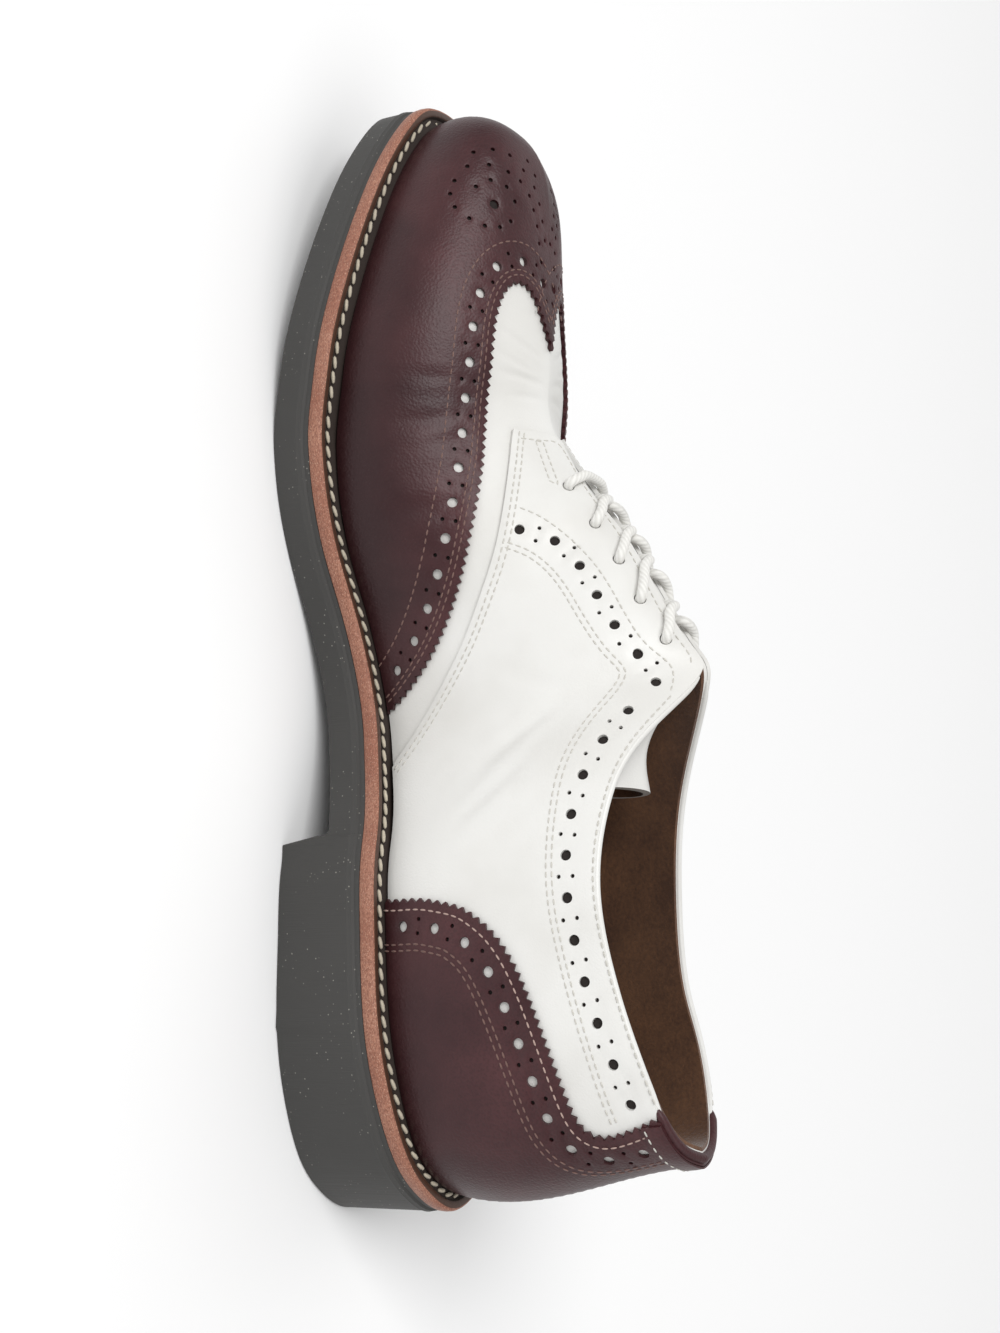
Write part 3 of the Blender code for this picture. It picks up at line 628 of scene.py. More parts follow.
# Adds an object of this shoe: rides on the body, takes a slot, and stands for CAD nodes
def piece(name, points, faces, looks, nodes=(), sharp=None, kinds=None, coords=None, weld=False):
    mesh = bpy.data.meshes.new(name)
    places = np.asarray(points) - [heelCentre, 0, 0]
    mesh.from_pydata(places.tolist(), [], [tuple(int(i) for i in face) for face in faces])
    for look in looks:
        mesh.materials.append(finishes[look])
    if kinds is not None:
        mesh.polygons.foreach_set("material_index", np.asarray(kinds, dtype=np.int32))
    if weld:
        work = bmesh.new()
        work.from_mesh(mesh)
        bmesh.ops.remove_doubles(work, verts=work.verts, dist=0.00002)
        work.to_mesh(mesh)
        work.free()
    mesh.shade_smooth()
    if sharp is not None:
        mesh.set_sharp_from_angle(angle=math.radians(sharp))
    if coords is not None:
        layer = mesh.uv_layers.new(name="run")
        index = np.empty(len(mesh.loops), dtype=np.int32)
        mesh.loops.foreach_get("vertex_index", index)
        layer.data.foreach_set("uv", np.asarray(coords)[index].ravel())
    made = bpy.data.objects.new(name, mesh)
    bpy.context.scene.collection.objects.link(made)
    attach(made, "root")
    if nodes:
        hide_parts(*nodes)
    print("made", name, len(mesh.polygons), "faces")
    return made


# Faces between rows of closed rings; wrapped joins the last ring to the first as well
def quads(rows, across, wrapped=False):
    faces = []
    for i in range(rows if wrapped else rows - 1):
        for j in range(across):
            k = (j + 1) % across
            face = (i * across + j, i * across + k, (i + 1) * across + k, (i + 1) * across + j)
            faces.append(tuple(v % (rows * across) for v in face))
    return faces


# The same with a face over each end
def capped(rows, across):
    final = (rows - 1) * across
    return quads(rows, across) + [tuple(range(across))[::-1], tuple(final + j for j in range(across))]


# Round ring of spots on the leather
def ringOfHole(spot, radius, count):
    turn = np.arange(count) * 2 * math.pi / count
    centre = np.repeat(np.array([spot], float), count, axis=0)
    ds = nudge["round"]
    ahead = unit(surface(centre[:, 0] + ds, centre[:, 1]) - surface(centre[:, 0] - ds, centre[:, 1]))
    side = np.cross(outNormal(centre), ahead)
    return centre + toShares(centre, radius * (ahead * np.cos(turn)[:, None] + side * np.sin(turn)[:, None]))


sheet = {"spacing": 0.0019, "soft": 0.00022, "bigHole": 0.001, "bigSides": 16, "smallSides": 10,
         "holeReach": 0.004}


# Flat triangles inside a loop and outside the rings, with points a spacing apart
def triangulated(loop, rings, spacing):
    grid = np.array(np.meshgrid(np.arange(loop[:, 0].min(), loop[:, 0].max(), spacing),
                                np.arange(loop[:, 1].min(), loop[:, 1].max(), spacing))).reshape(2, -1).T
    grid[:, 0] += np.where(np.round(grid[:, 1] / spacing) % 2 == 0, 0.25, -0.25) * spacing
    grid = grid[insideLoop(loop, grid)]
    grid = grid[nearest(grid, loop) > 0.5 * spacing]
    if rings:
        grid = grid[nearest(grid, np.vstack(rings)) > 0.45 * spacing]
    faces = []
    first = 0
    for ring in [loop] + rings:
        faces.append(list(range(first, first + len(ring))))
        first += len(ring)
    for ring in rings:
        grid = grid[~insideLoop(ring, grid)]
    spots = np.vstack([loop] + rings + [grid])
    made = delaunay_2d_cdt([Vector(p) for p in spots], [], faces, 1, 1e-7)
    flat = np.array([tuple(p) for p in made[0]])
    tris = np.array([tuple(face) for face in made[2]])
    middle = flat[tris].mean(axis=1)
    for ring in rings:
        near = np.abs(middle - ring.mean(axis=0)).max(axis=1) < sheet["holeReach"]
        gone = np.zeros(len(tris), bool)
        gone[near] = insideLoop(ring, middle[near])
        tris = tris[~gone]
        middle = middle[~gone]
    used, renumbered = np.unique(tris, return_inverse=True)
    return flat[used], renumbered.reshape(-1, 3)


def triangleEdges(tris):
    return np.vstack((tris[:, :2], tris[:, 1:], tris[:, [2, 0]]))


# Leather laid over the upper inside a (round, up) outline, with real holes and a soft edge
def leather(name, outline, holes, low, thick, finish, nodes, spacing=sheet["spacing"]):
    rings = []
    for s, u, radius in holes:
        sides = sheet["bigSides"] if radius > sheet["bigHole"] else sheet["smallSides"]
        rings.append(ringOfHole((s, u), radius, sides) * flatScale)
    flat, tris = triangulated(np.asarray(outline) * flatScale, rings, spacing)
    pairs, times = np.unique(np.sort(triangleEdges(tris), axis=1), axis=0, return_counts=True)
    shares = flat / flatScale
    ridge = onRidge(shares)
    border = pairs[times == 1]
    border = border[~(ridge[border[:, 0]] & ridge[border[:, 1]])]
    rim = np.zeros(len(flat), bool)
    rim[border.ravel()] = True
    top = over(shares, np.where(rim, low + thick - sheet["soft"], low + thick))
    base = over(shares, low)
    count = len(flat)
    facing = np.cross(top[tris[:, 1]] - top[tris[:, 0]], top[tris[:, 2]] - top[tris[:, 0]])
    if np.sum(facing * outNormal(shares)[tris[:, 0]]) < 0:
        tris = tris[:, ::-1]
    directed = {tuple(edge) for edge in triangleEdges(tris).tolist()}
    walls = []
    for a, b in border.tolist():
        a, b = (a, b) if (a, b) in directed else (b, a)
        walls.append((b, a, a + count, b + count))
    everything = tris.tolist() + (tris[:, ::-1] + count).tolist() + walls
    return piece(name, np.vstack((top, base)), everything, [finish], nodes, sharp=42, weld=True)


# Dark discs at the bottom of holes punched through leather whose underside is at the level low: a dark backing
# under the quarters' holes, painted shade in the wing's and counter's holes over white leather
def backingAndHoleShade(name, holes, low):
    sides = sheet["smallSides"]
    points, faces = [], []
    for s, u, radius in holes:
        ring = np.vstack((ringOfHole((s, u), radius * 0.97, sides), [(s, u)]))
        first = len(points) * (sides + 1)
        points.append(over(ring, low + 0.0002))
        faces += [(first + k, first + (k + 1) % sides, first + sides) for k in range(sides)]
    piece(name, np.vstack(points), faces, ["hollow"])


stitchBody = {"rings": (-1.0, -0.72, 0.0, 0.72, 1.0), "girths": (0.0, 0.78, 1.0, 0.78, 0.0), "sides": 6}


# One thread stitch as a small rounded bar, turned to its place
def stitchMesh():
    points, faces = [], []
    sides = stitchBody["sides"]
    for at, girth in zip(stitchBody["rings"], stitchBody["girths"]):
        turns = np.arange(sides if girth > 0 else 1) * 2 * math.pi / sides
        points += [(at, girth * math.cos(turn), girth * math.sin(turn)) for turn in turns]
    faces += [(0, 1 + (k + 1) % sides, 1 + k) for k in range(sides)]
    faces += [tuple(1 + v for v in face) for face in quads(len(stitchBody["rings"]) - 2, sides)]
    final = len(points) - 1
    faces += [(final - sides + k, final - sides + (k + 1) % sides, final) for k in range(sides)]
    return np.array(points), faces


stitchPoints, stitchFaces = stitchMesh()


def placeStitches(name, centres, aheads, normals, size, finish):
    aheads = unit(aheads)
    sides = unit(np.cross(normals, aheads))
    ups = np.cross(aheads, sides)
    placed = centres[:, None, :]
    for body, axes in zip((stitchPoints * np.array(size) / 2).T, (aheads, sides, ups)):
        placed = placed + body[None, :, None] * axes[:, None, :]
    count = len(stitchPoints)
    faces = [tuple(i + k * count for i in face) for k in range(len(centres)) for face in stitchFaces]
    return piece(name, placed.reshape(-1, 3), faces, [finish])


seams = {"pinkInset": 0.0006, "nearRow": 0.0026, "holeRow": 0.0068, "farRow": 0.0118, "twin": 0.0014,
         "pitch": 0.0023, "size": (0.0017, 0.00050, 0.00042), "aim": 0.0006}


# Stitches along trails over the leather at a level, with margins at both ends of each trail
def sew(name, trails, level, margins, finish):
    centres, aheads, normals = [], [], []
    for trail in trails:
        at = trail.every(seams["pitch"], *margins)
        front = over(trail.at(at + seams["aim"]), level)
        back = over(trail.at(at - seams["aim"]), level)
        centres.append((front + back) / 2)
        aheads.append(front - back)
        normals.append(outNormal(trail.at(at)))
    placeStitches(name, np.vstack(centres), np.vstack(aheads), np.vstack(normals), seams["size"], finish)


# Round tube along points, with the running length and the way round as its coordinates
def tube(points, radius, sides):
    points = np.asarray(points)
    ahead = unit(np.gradient(points, axis=0))
    side = np.cross(ahead[0], [0.0, 0.0, 1.0])
    rings, frames = [], []
    for k in range(len(points)):
        side = side - ahead[k] * (side @ ahead[k])
        side = side / np.linalg.norm(side)
        frames.append((side, np.cross(ahead[k], side)))
    radius = np.broadcast_to(radius, len(points))
    turns = np.arange(sides) * 2 * math.pi / sides
    run = walked(points)
    coords = []
    for k, (a, b) in enumerate(frames):
        for turn in turns:
            rings.append(points[k] + radius[k] * (a * math.cos(turn) + b * math.sin(turn)))
            coords.append((run[k], turn * laceShape["radius"]))
    return np.array(rings), capped(len(points), sides), coords


# Several tubes as one mesh
def joined(parts):
    points, faces, coords = [], [], []
    first = 0
    for ring, face, coord in parts:
        points.append(ring)
        faces += [tuple(i + first for i in f) for f in face]
        coords += coord
        first += len(ring)
    return np.vstack(points), faces, coords


# Shader maths: a value in a material, so that sums of values read as sums
class Value:
    def __init__(self, finish, socket):
        self.finish = finish
        self.socket = socket

    def joined(self, operation, first, second):
        return self.finish.node("ShaderNodeMath", {"operation": operation}, {0: first, 1: second})

    def __add__(self, other):
        return self.joined("ADD", self, other)

    def __sub__(self, other):
        return self.joined("SUBTRACT", self, other)

    def __mul__(self, other):
        return self.joined("MULTIPLY", self, other)

    def __radd__(self, other):
        return self.joined("ADD", other, self)

    def __rsub__(self, other):
        return self.joined("SUBTRACT", other, self)

    def __rmul__(self, other):
        return self.joined("MULTIPLY", other, self)


# A material under way, with the helpers that each recipe below uses
class Finish:
    def __init__(self, name, **fixed):
        self.material = bpy.data.materials.new(name)
        self.material.use_nodes = True
        self.tree = self.material.node_tree
        self.shader = self.tree.nodes["Principled BSDF"]
        for label, value in fixed.items():
            self.shader.inputs[label.replace("_", " ")].default_value = value

    def node(self, kind, settings=None, inputs=None, out=0):
        made = self.tree.nodes.new(kind)
        for label, value in (settings or {}).items():
            if label == "stops":
                ramp = made.color_ramp
                while len(ramp.elements) < len(value):
                    ramp.elements.new(0.5)
                for element, (place, shade) in zip(ramp.elements, value):
                    element.position = place
                    element.color = (*shade, 1.0) if isinstance(shade, tuple) else (shade, shade, shade, 1.0)
            else:
                setattr(made, label, value)
        for label, value in (inputs or {}).items():
            socket = made.inputs[label]
            if isinstance(value, Value):
                self.tree.links.new(value.socket, socket)
            else:
                socket.default_value = value
        return Value(self, made.outputs[out])

    def place(self, stretch=(1.0, 1.0, 1.0)):
        spot = self.node("ShaderNodeTexCoord", out="Object")
        return self.node("ShaderNodeMapping", {}, {"Vector": spot, "Scale": stretch})

    def noise(self, spot, scale, detail=3.0, rough=0.55):
        return self.node("ShaderNodeTexNoise", {}, {"Vector": spot, "Scale": scale, "Detail": detail,
                                                    "Roughness": rough}, out="Fac")

    def cells(self, spot, scale, feature="F1"):
        return self.node("ShaderNodeTexVoronoi", {"feature": feature}, {"Vector": spot, "Scale": scale},
                         out="Distance")

    def ramp(self, value, *stops):
        return self.node("ShaderNodeValToRGB", {"stops": stops}, {"Fac": value}, out="Color")

    def mixed(self, share, first, second):
        first = (*first, 1.0) if isinstance(first, tuple) else first
        second = (*second, 1.0) if isinstance(second, tuple) else second
        colours = {"Factor": share, 6: first, 7: second}
        return self.node("ShaderNodeMix", {"data_type": "RGBA"}, colours, out=2)

    def set(self, label, value):
        self.tree.links.new(value.socket, self.shader.inputs[label])

    def bump(self, height, strength, distance):
        bump = self.node("ShaderNodeBump", {}, {"Height": height, "Strength": strength, "Distance": distance},
                         out="Normal")
        self.set("Normal", bump)


# The dark colour serves both the real pores and the painted shade near the welt
burgundyLook = {"dark": (0.019, 0.0058, 0.0068), "mid": (0.038, 0.0098, 0.0118),
                "light": (0.070, 0.0215, 0.0240), "grain": 1500.0, "fine": 3800.0}
whiteLook = {"base": (0.745, 0.74, 0.715), "shade": (0.68, 0.67, 0.64), "grain": 2100.0}
rubberLook = {"base": (0.042, 0.041, 0.039), "pale": (0.064, 0.062, 0.059), "dust": (0.26, 0.25, 0.22)}
weltLook = {"base": (0.32, 0.125, 0.076), "pale": (0.42, 0.20, 0.130), "dark": (0.19, 0.066, 0.038),
            "glint": (0.60, 0.36, 0.26), "lip": (0.085, 0.038, 0.022), "channel": (0.030, 0.018, 0.013)}
# Suede colours kept dark to paint the deep shade inside the shoe's opening
suedeShadedLook = {"base": (0.072, 0.028, 0.011), "pale": (0.15, 0.066, 0.027)}
sockLook = {"base": (0.13, 0.062, 0.030), "pale": (0.22, 0.115, 0.058)}
laceLook = {"base": (0.84, 0.83, 0.80), "shade": (0.62, 0.61, 0.57), "bands": 420.0}
# The hole discs' near-black is a real backing under the quarters and painted shade in the wing and counter
# holes
darkLook = {"cutEdge": (0.36, 0.33, 0.30), "hollow": (0.018, 0.012, 0.010)}
threadLook = {"creamThread": (0.66, 0.58, 0.45), "whiteThread": (0.70, 0.68, 0.62),
              "darkThread": (0.200, 0.105, 0.085), "roseThread": (0.52, 0.36, 0.31)}


# Grained leather, darker in its pores, with painted shade near the welt and lighter clouds
def burgundyLeather():
    made = Finish("burgundyLeather", Coat_Weight=0.05, Coat_Roughness=0.25, Specular_IOR_Level=0.32)
    spot = made.place()
    cloud = made.noise(spot, 34.0, 4.0)
    grain = made.cells(spot, burgundyLook["grain"], "SMOOTH_F1")
    fine = made.noise(spot, burgundyLook["fine"], 2.0)
    shade = made.mixed(made.ramp(cloud, (0.38, 0.0), (0.68, 1.0)), burgundyLook["mid"], burgundyLook["light"])
    pores = made.ramp(grain, (0.10, 1.0), (0.55, 0.0)) * 0.35
    height = made.node("ShaderNodeSeparateXYZ", {}, {"Vector": spot}, out="Z")
    # Painted shade: the colour darkens lower down, towards the welt; the next line joins it with the real
    # pores
    low = made.ramp(height * 12.0 + cloud * 0.25, (0.42, 0.6), (0.75, 0.0))
    dark = made.node("ShaderNodeMath", {"operation": "MAXIMUM"}, {0: pores, 1: low})
    made.set("Base Color", made.mixed(dark, shade, burgundyLook["dark"]))
    made.set("Roughness", 0.32 + cloud * 0.14 + fine * 0.05)
    made.bump(grain * 0.75 + fine * 0.25, 0.36, 0.0004)
    return made.material


# Fine-grained leather with faint clouds and long soft wrinkles
def whiteLeather():
    made = Finish("whiteLeather", Coat_Weight=0.08, Coat_Roughness=0.3)
    spot = made.place()
    cloud = made.noise(spot, 26.0, 3.0)
    grain = made.cells(spot, whiteLook["grain"], "SMOOTH_F1")
    long = made.noise(made.place((1.0, 3.0, 1.0)), 240.0, 5.0, 0.6)
    clouded = made.ramp(cloud, (0.42, 0.0), (0.66, 1.0))
    made.set("Base Color", made.mixed(clouded, whiteLook["base"], whiteLook["shade"]))
    made.set("Roughness", 0.36 + cloud * 0.14)
    made.bump(grain * 0.5 + long * 0.5, 0.24, 0.0003)
    return made.material


# Charcoal rubber with upright streaks and a few pale specks
def soleRubber():
    made = Finish("soleRubber", Specular_IOR_Level=0.35)
    spot = made.place()
    streak = made.noise(made.place((1.0, 1.0, 0.03)), 1900.0, 4.0, 0.6)
    cloud = made.noise(spot, 22.0, 3.0)
    speck = made.ramp(made.cells(spot, 640.0), (0.085, 1.0), (0.15, 0.0))
    rare = made.ramp(made.noise(spot, 60.0, 2.0), (0.44, 0.0), (0.58, 1.0))
    shade = made.mixed(cloud * 0.6 + streak * 0.4, rubberLook["base"], rubberLook["pale"])
    made.set("Base Color", made.mixed(speck * rare, shade, rubberLook["dust"]))
    made.set("Roughness", 0.52 + streak * 0.22)
    made.bump(streak, 0.35, 0.00018)
    return made.material


# Cut edge of tan leather: dark grit and small glints over soft bands
def weltEdge():
    made = Finish("weltEdge")
    spot = made.place((1.0, 1.0, 2.2))
    grit = made.noise(spot, 1500.0, 4.0, 0.7)
    band = made.noise(made.place(), 60.0, 4.0)
    dots = made.cells(spot, 1300.0)
    shade = made.mixed(made.ramp(band, (0.35, 0.0), (0.7, 1.0)), weltLook["base"], weltLook["pale"])
    worn = made.mixed(made.ramp(grit, (0.42, 0.85), (0.56, 0.0)), shade, weltLook["dark"])
    made.set("Base Color", made.mixed(made.ramp(dots, (0.16, 0.7), (0.30, 0.0)), worn, weltLook["glint"]))
    made.set("Roughness", 0.36 + grit * 0.3)
    made.bump(grit * 0.7 + dots * 0.3, 0.6, 0.0004)
    return made.material


# Plain leather of one colour, dimmed by its grit
def plainLeather(name, colour, roughness):
    made = Finish(name)
    grit = made.noise(made.place(), 1400.0, 3.0, 0.6)
    made.set("Base Color", made.mixed(grit, colour, tuple(0.55 * part for part in colour)))
    made.set("Roughness", roughness - 0.06 + grit * 0.12)
    made.bump(grit, 0.4, 0.0002)
    return made.material


# Nap with paler rubbed patches, both colours darkened as painted shade inside the shoe
def suedeLining():
    made = Finish("suedeLining", Roughness=0.88, Sheen_Weight=0.35, Sheen_Roughness=0.4)
    spot = made.place()
    nap = made.noise(spot, 900.0, 5.0, 0.7)
    rub = made.noise(spot, 45.0, 4.0)
    rubbed = made.ramp(rub * 0.6 + nap * 0.4, (0.42, 0.0), (0.62, 1.0))
    made.set("Base Color", made.mixed(rubbed, suedeShadedLook["base"], suedeShadedLook["pale"]))
    made.bump(nap, 0.7, 0.0004)
    return made.material


def threadFinish(name):
    made = Finish(name, Roughness=0.62, Sheen_Weight=0.15)
    twist = made.noise(made.place(), 3200.0, 2.0)
    colour = threadLook[name]
    made.set("Base Color", made.mixed(twist, colour, tuple(0.6 * part for part in colour)))
    made.bump(twist, 0.5, 0.0001)
    return made.material


# Round braided cord: slanted strands in the tube's own run and turn, with painted shade between the strands
# and random fuzz
def laceFinish():
    made = Finish("laceCord", Roughness=0.68, Sheen_Weight=0.2)
    run = made.node("ShaderNodeUVMap", {"uv_map": "run"}, out="UV")
    bands = made.node("ShaderNodeTexWave", {"bands_direction": "DIAGONAL"},
                      {"Vector": run, "Scale": laceLook["bands"], "Distortion": 0.6}, out="Fac")
    fuzz = made.noise(made.place(), 2600.0, 3.0)
    # Painted shade: the colour darkens along the braid's bands, between the strands
    made.set("Base Color", made.mixed(bands * 0.5 + fuzz * 0.3, laceLook["base"], laceLook["shade"]))
    made.bump(bands * 0.8 + fuzz * 0.2, 0.45, 0.00025)
    return made.material


def insoleFinish():
    made = Finish("insoleSock", Roughness=0.7, Sheen_Weight=0.1)
    nap = made.noise(made.place(), 700.0, 4.0, 0.65)
    wear = made.noise(made.place(), 24.0, 3.0)
    worn = made.ramp(wear * 0.7 + nap * 0.3, (0.4, 0.0), (0.65, 1.0))
    made.set("Base Color", made.mixed(worn, sockLook["base"], sockLook["pale"]))
    made.bump(nap, 0.4, 0.0002)
    return made.material


finishes = {
    "burgundy": burgundyLeather(),
    "white": whiteLeather(),
    "rubber": soleRubber(),
    "weltEdge": weltEdge(),
    "weltLip": plainLeather("weltLip", weltLook["lip"], 0.42),
    "channel": plainLeather("weltChannel", weltLook["channel"], 0.75),
    "suede": suedeLining(),
    "cutEdge": plainLeather("cutEdge", darkLook["cutEdge"], 0.8),
    "creamThread": threadFinish("creamThread"),
    "whiteThread": threadFinish("whiteThread"),
    "darkThread": threadFinish("darkThread"),
    "roseThread": threadFinish("roseThread"),
    "hollow": plainLeather("punchedBackingAndShade", darkLook["hollow"], 0.85),
    "lace": laceFinish(),
    "insole": insoleFinish(),
}
print("made", len(finishes), "finishes")


soleLook = {"rings": 260, "treadBreak": 0.0008, "ridge": 0.0034, "ridgeOut": 0.00025, "ridgeLow": 0.0009,
            "ridgeHigh": 0.0007, "randDepth": 0.0006, "randHeight": 0.0020, "randSlope": 0.0005,
            "breastRoom": 0.0016, "breastRings": 6, "filletRings": 5}


# Station and floor of each ring of the sole: heel block, breast, its fillet, then arch and forepart
def soleRows():
    breast, slant, fillet = last["heelLength"], last["breastSlant"], last["breastFillet"]
    arch = float(lift(breast))
    room = soleLook["breastRoom"]
    base = last["soleLength"] * (1 - np.cos(np.linspace(0, math.pi, soleLook["rings"]))) / 2
    rows = [(x, 0.0) for x in base if x < breast - room - slant]
    for k in range(soleLook["breastRings"] + 1):
        share = k / soleLook["breastRings"]
        rows.append((breast - slant * (1 - share), (arch - fillet) * share))
    for k in range(1, soleLook["filletRings"] + 1):
        turn = math.pi / 2 * k / soleLook["filletRings"]
        rows.append((breast + fillet * (1 - math.cos(turn)), arch - fillet * (1 - math.sin(turn))))
    rows += [(x, float(lift(x))) for x in base if x > breast + fillet + room]
    return np.array(rows)


# Rubber sole and heel block: broken tread edge, fine ridge round the side and a sunk rand under the welt
def makeSole():
    xs, floor = soleRows().T
    top = rubberTop(xs)
    ridge = top - soleLook["ridge"]
    rand = top - soleLook["randHeight"]
    tread = soleLook["treadBreak"]
    side = floor + tread
    levels = ((tread, floor), (tread * 0.3, floor + tread * 0.3), (0.0, side),
              (0.0, np.maximum(ridge - soleLook["ridgeLow"], side)),
              (-soleLook["ridgeOut"], np.maximum(ridge, side)),
              (0.0, np.maximum(ridge + soleLook["ridgeHigh"], side)), (0.0, rand),
              (soleLook["randDepth"], rand + soleLook["randSlope"]), (soleLook["randDepth"], top))
    block = (xs > 0.15 * last["soleLength"]) & (xs <= last["heelLength"])
    left, right = [], []
    for inset, height in levels:
        at, inner, outer = edgePair(inset, xs)
        half = last["heelHalfWidth"] * last["heelBase"] - inset
        share = np.where(block, np.clip(1 - (height - floor) / np.maximum(top - floor, 0.001), 0, 1), 0)
        inner = inner + share * np.maximum(half - inner, 0)
        outer = outer - share * np.maximum(half + outer, 0)
        left.append(np.column_stack((at, inner, height)))
        right.append(np.column_stack((at, outer, height)))
    rings = np.array(left + right[::-1]).transpose(1, 0, 2)
    faces = [face[::-1] for face in capped(*rings.shape[:2])]
    piece("rubberSole", rings.reshape(-1, 3), faces, ["rubber"], ["outsole"], sharp=35)


weltShape = {"points": 900, "shelfDrop": 0.0002, "stitchAt": 0.0043, "stitchPitch": 0.0040,
             "stitchSize": (0.0036, 0.0013, 0.0011), "slant": 0.30, "sunk": 0.00015, "aim": 0.001}
# Section of the welt from under its edge to the shelf: inset from the outline, share of the thickness,
# height added to it, and finish: 0 tan edge, 1 dark lip, 2 sewn channel
weltProfile = (
    ("inset", "share", "extra", "finish"),
    (0.0012, 0.00, 0.0000, 0),
    (0.0004, 0.00, 0.0000, 0),
    (0.0001, 0.18, 0.0000, 0),
    (0.0000, 0.50, 0.0000, 0),
    (0.0001, 0.80, 0.0000, 0),
    (0.0004, 0.97, 0.0000, 0),
    (0.0009, 1.00, 0.0002, 1),
    (0.0022, 1.00, 0.0003, 1),
    (0.0027, 1.00, 0.0001, 2),
    (0.0032, 1.00, -0.0007, 2),
    (0.0056, 1.00, -0.0007, 2),
    (0.0064, 1.00, -0.0001, 2),
)


def makeWelt():
    count = weltShape["points"]
    outline = outlineLoop(0.0, count)
    bottom = rubberTop(outline[:, 0]) + last["clearance"]
    top = weltTop(outline[:, 0])
    rows, kinds = [], []
    for inset, share, extra, kind in weltProfile[1:]:
        height = bottom + (last["weltThickness"] * share + extra)
        rows.append(np.column_stack((outlineLoop(inset, count), height)))
        kinds.append(kind)
    deep = outlineLoop(lambda x: weltRim(x) + last["wall"] + last["clearance"], count)
    for height in (top - weltShape["shelfDrop"], bottom):
        rows.append(np.column_stack((deep, height)))
        kinds.append(2)
    points = np.array(rows).transpose(1, 0, 2)
    faces = [face[::-1] for face in quads(count, len(rows), wrapped=True)]
    piece("weltStrip", points.reshape(-1, 3), faces, ["weltEdge", "weltLip", "channel"],
          ["welt"], sharp=50, kinds=kinds * count)


def sewWelt():
    loop = outlineLoop(weltShape["stitchAt"], 2400)
    ring = np.vstack((loop, loop[:1]))
    length = walked(ring)
    count = int(length[-1] / weltShape["stitchPitch"])
    at = (np.arange(count) + 0.5) * length[-1] / count
    ends = []
    for distance in (at, (at + weltShape["aim"]) % length[-1]):
        spots = sampled(distance, length, ring)
        ends.append(np.column_stack((spots, weltTop(spots[:, 0]) - weltShape["sunk"])))
    ups = np.repeat([[0.0, 0.0, 1.0]], count, axis=0)
    aheads = unit(ends[1] - ends[0])
    aheads = aheads + weltShape["slant"] * np.cross(ups, aheads)
    size = weltShape["stitchSize"]
    placeStitches("weltStitches", ends[0], aheads, ups, size, "creamThread")


upperMesh = {"around": 460, "up": 60, "liningUp": 40}


# Hollow upper: white outer face, turned edge and suede lining
def makeUpper():
    count = upperMesh["around"]
    wall = last["wall"]
    wrapped = np.arange(count) * 2.0 / count
    shut = np.minimum(wrapped, 2 - wrapped) < closedRound
    rows = [(up, 0.0, 0) for up in np.linspace(0, 1, upperMesh["up"])] + [(1.0, -wall * 0.5, 1)]
    rows += [(up, -wall, 1) for up in np.linspace(1, 0, upperMesh["liningUp"])]
    points = [over(np.column_stack((wrapped, np.full(count, up))), level) for up, level, _ in rows]
    faces, kinds = [], []
    for n, face in enumerate(quads(len(rows), count, wrapped=True)):
        j, i = divmod(n, count)
        turned = rows[j][0] == 1.0 and rows[(j + 1) % len(rows)][0] == 1.0
        if not (turned and shut[i] and shut[(i + 1) % count]):
            faces.append(face if outSign > 0 else face[::-1])
            kinds.append(rows[j][2])
    piece("whiteUpper", np.vstack(points), faces, ["white", "suede"], ["upper"], sharp=60,
          kinds=kinds, weld=True)


punching = {"big": 0.00140, "small": 0.00056, "pairHalf": 0.0018, "eyeShare": 0.95, "toeSmall": 0.00062}
layers = {"low": 0.00015, "panel": 0.0013, "counterLow": 0.0016, "counterThick": 0.0012}


# Big holes evenly along a trail with a pair of small ones between them
def punch(trail, count, start, stop, lead=True):
    at = np.linspace(start, trail.total - stop, count)
    big = [(s, u, punching["big"]) for s, u in trail.at(at)]
    middle = (at[1:] + at[:-1]) / 2
    if lead:
        middle = np.append(middle, at[-1] + (at[-1] - at[-2]) / 2)
    small = []
    for offset in (-punching["pairHalf"], punching["pairHalf"]):
        small += [(s, u, punching["small"]) for s, u in trail.beside(trail.moved(offset), middle)]
    return big, small


def flipped(holes, about=0):
    return [(2 * about - s, u, radius) for s, u, radius in holes]


# Ornament on the toe: a big eye with small holes round and ahead of it, and two chains by the centre line.
# Each row is a hole's place behind the toe's front and beside the centre line, in millimetres.
toeOrnament = (
    ("behind", "aside", "big"),
    (36.9, 20.0, 1),
    (34.5, 14.5, 0),
    (31.0, 16.5, 0),
    (30.0, 20.0, 0),
    (32.5, 23.0, 0),
    (26.5, 23.0, 0),
    (25.5, 19.5, 0),
    (26.5, 15.5, 0),
    (22.0, 21.0, 0),
    (20.5, 17.5, 0),
    (21.0, 13.5, 0),
    (31.0, 25.5, 0),
    (35.0, 26.8, 0),
    (39.0, 27.0, 0),
    (42.0, 25.3, 0),
    (43.5, 22.5, 0),
    (43.0, 19.0, 0),
    (40.5, 16.0, 0),
    (24.0, 9.8, 0),
    (28.0, 12.0, 0),
    (31.0, 9.0, 0),
    (34.5, 7.5, 0),
    (38.5, 6.0, 0),
    (43.0, 5.0, 0),
    (48.0, 4.0, 0),
    (20.0, 6.5, 0),
    (23.5, 4.5, 0),
    (27.5, 6.0, 0),
    (31.5, 4.2, 0),
    (36.0, 3.0, 0),
    (41.0, 1.8, 0),
)


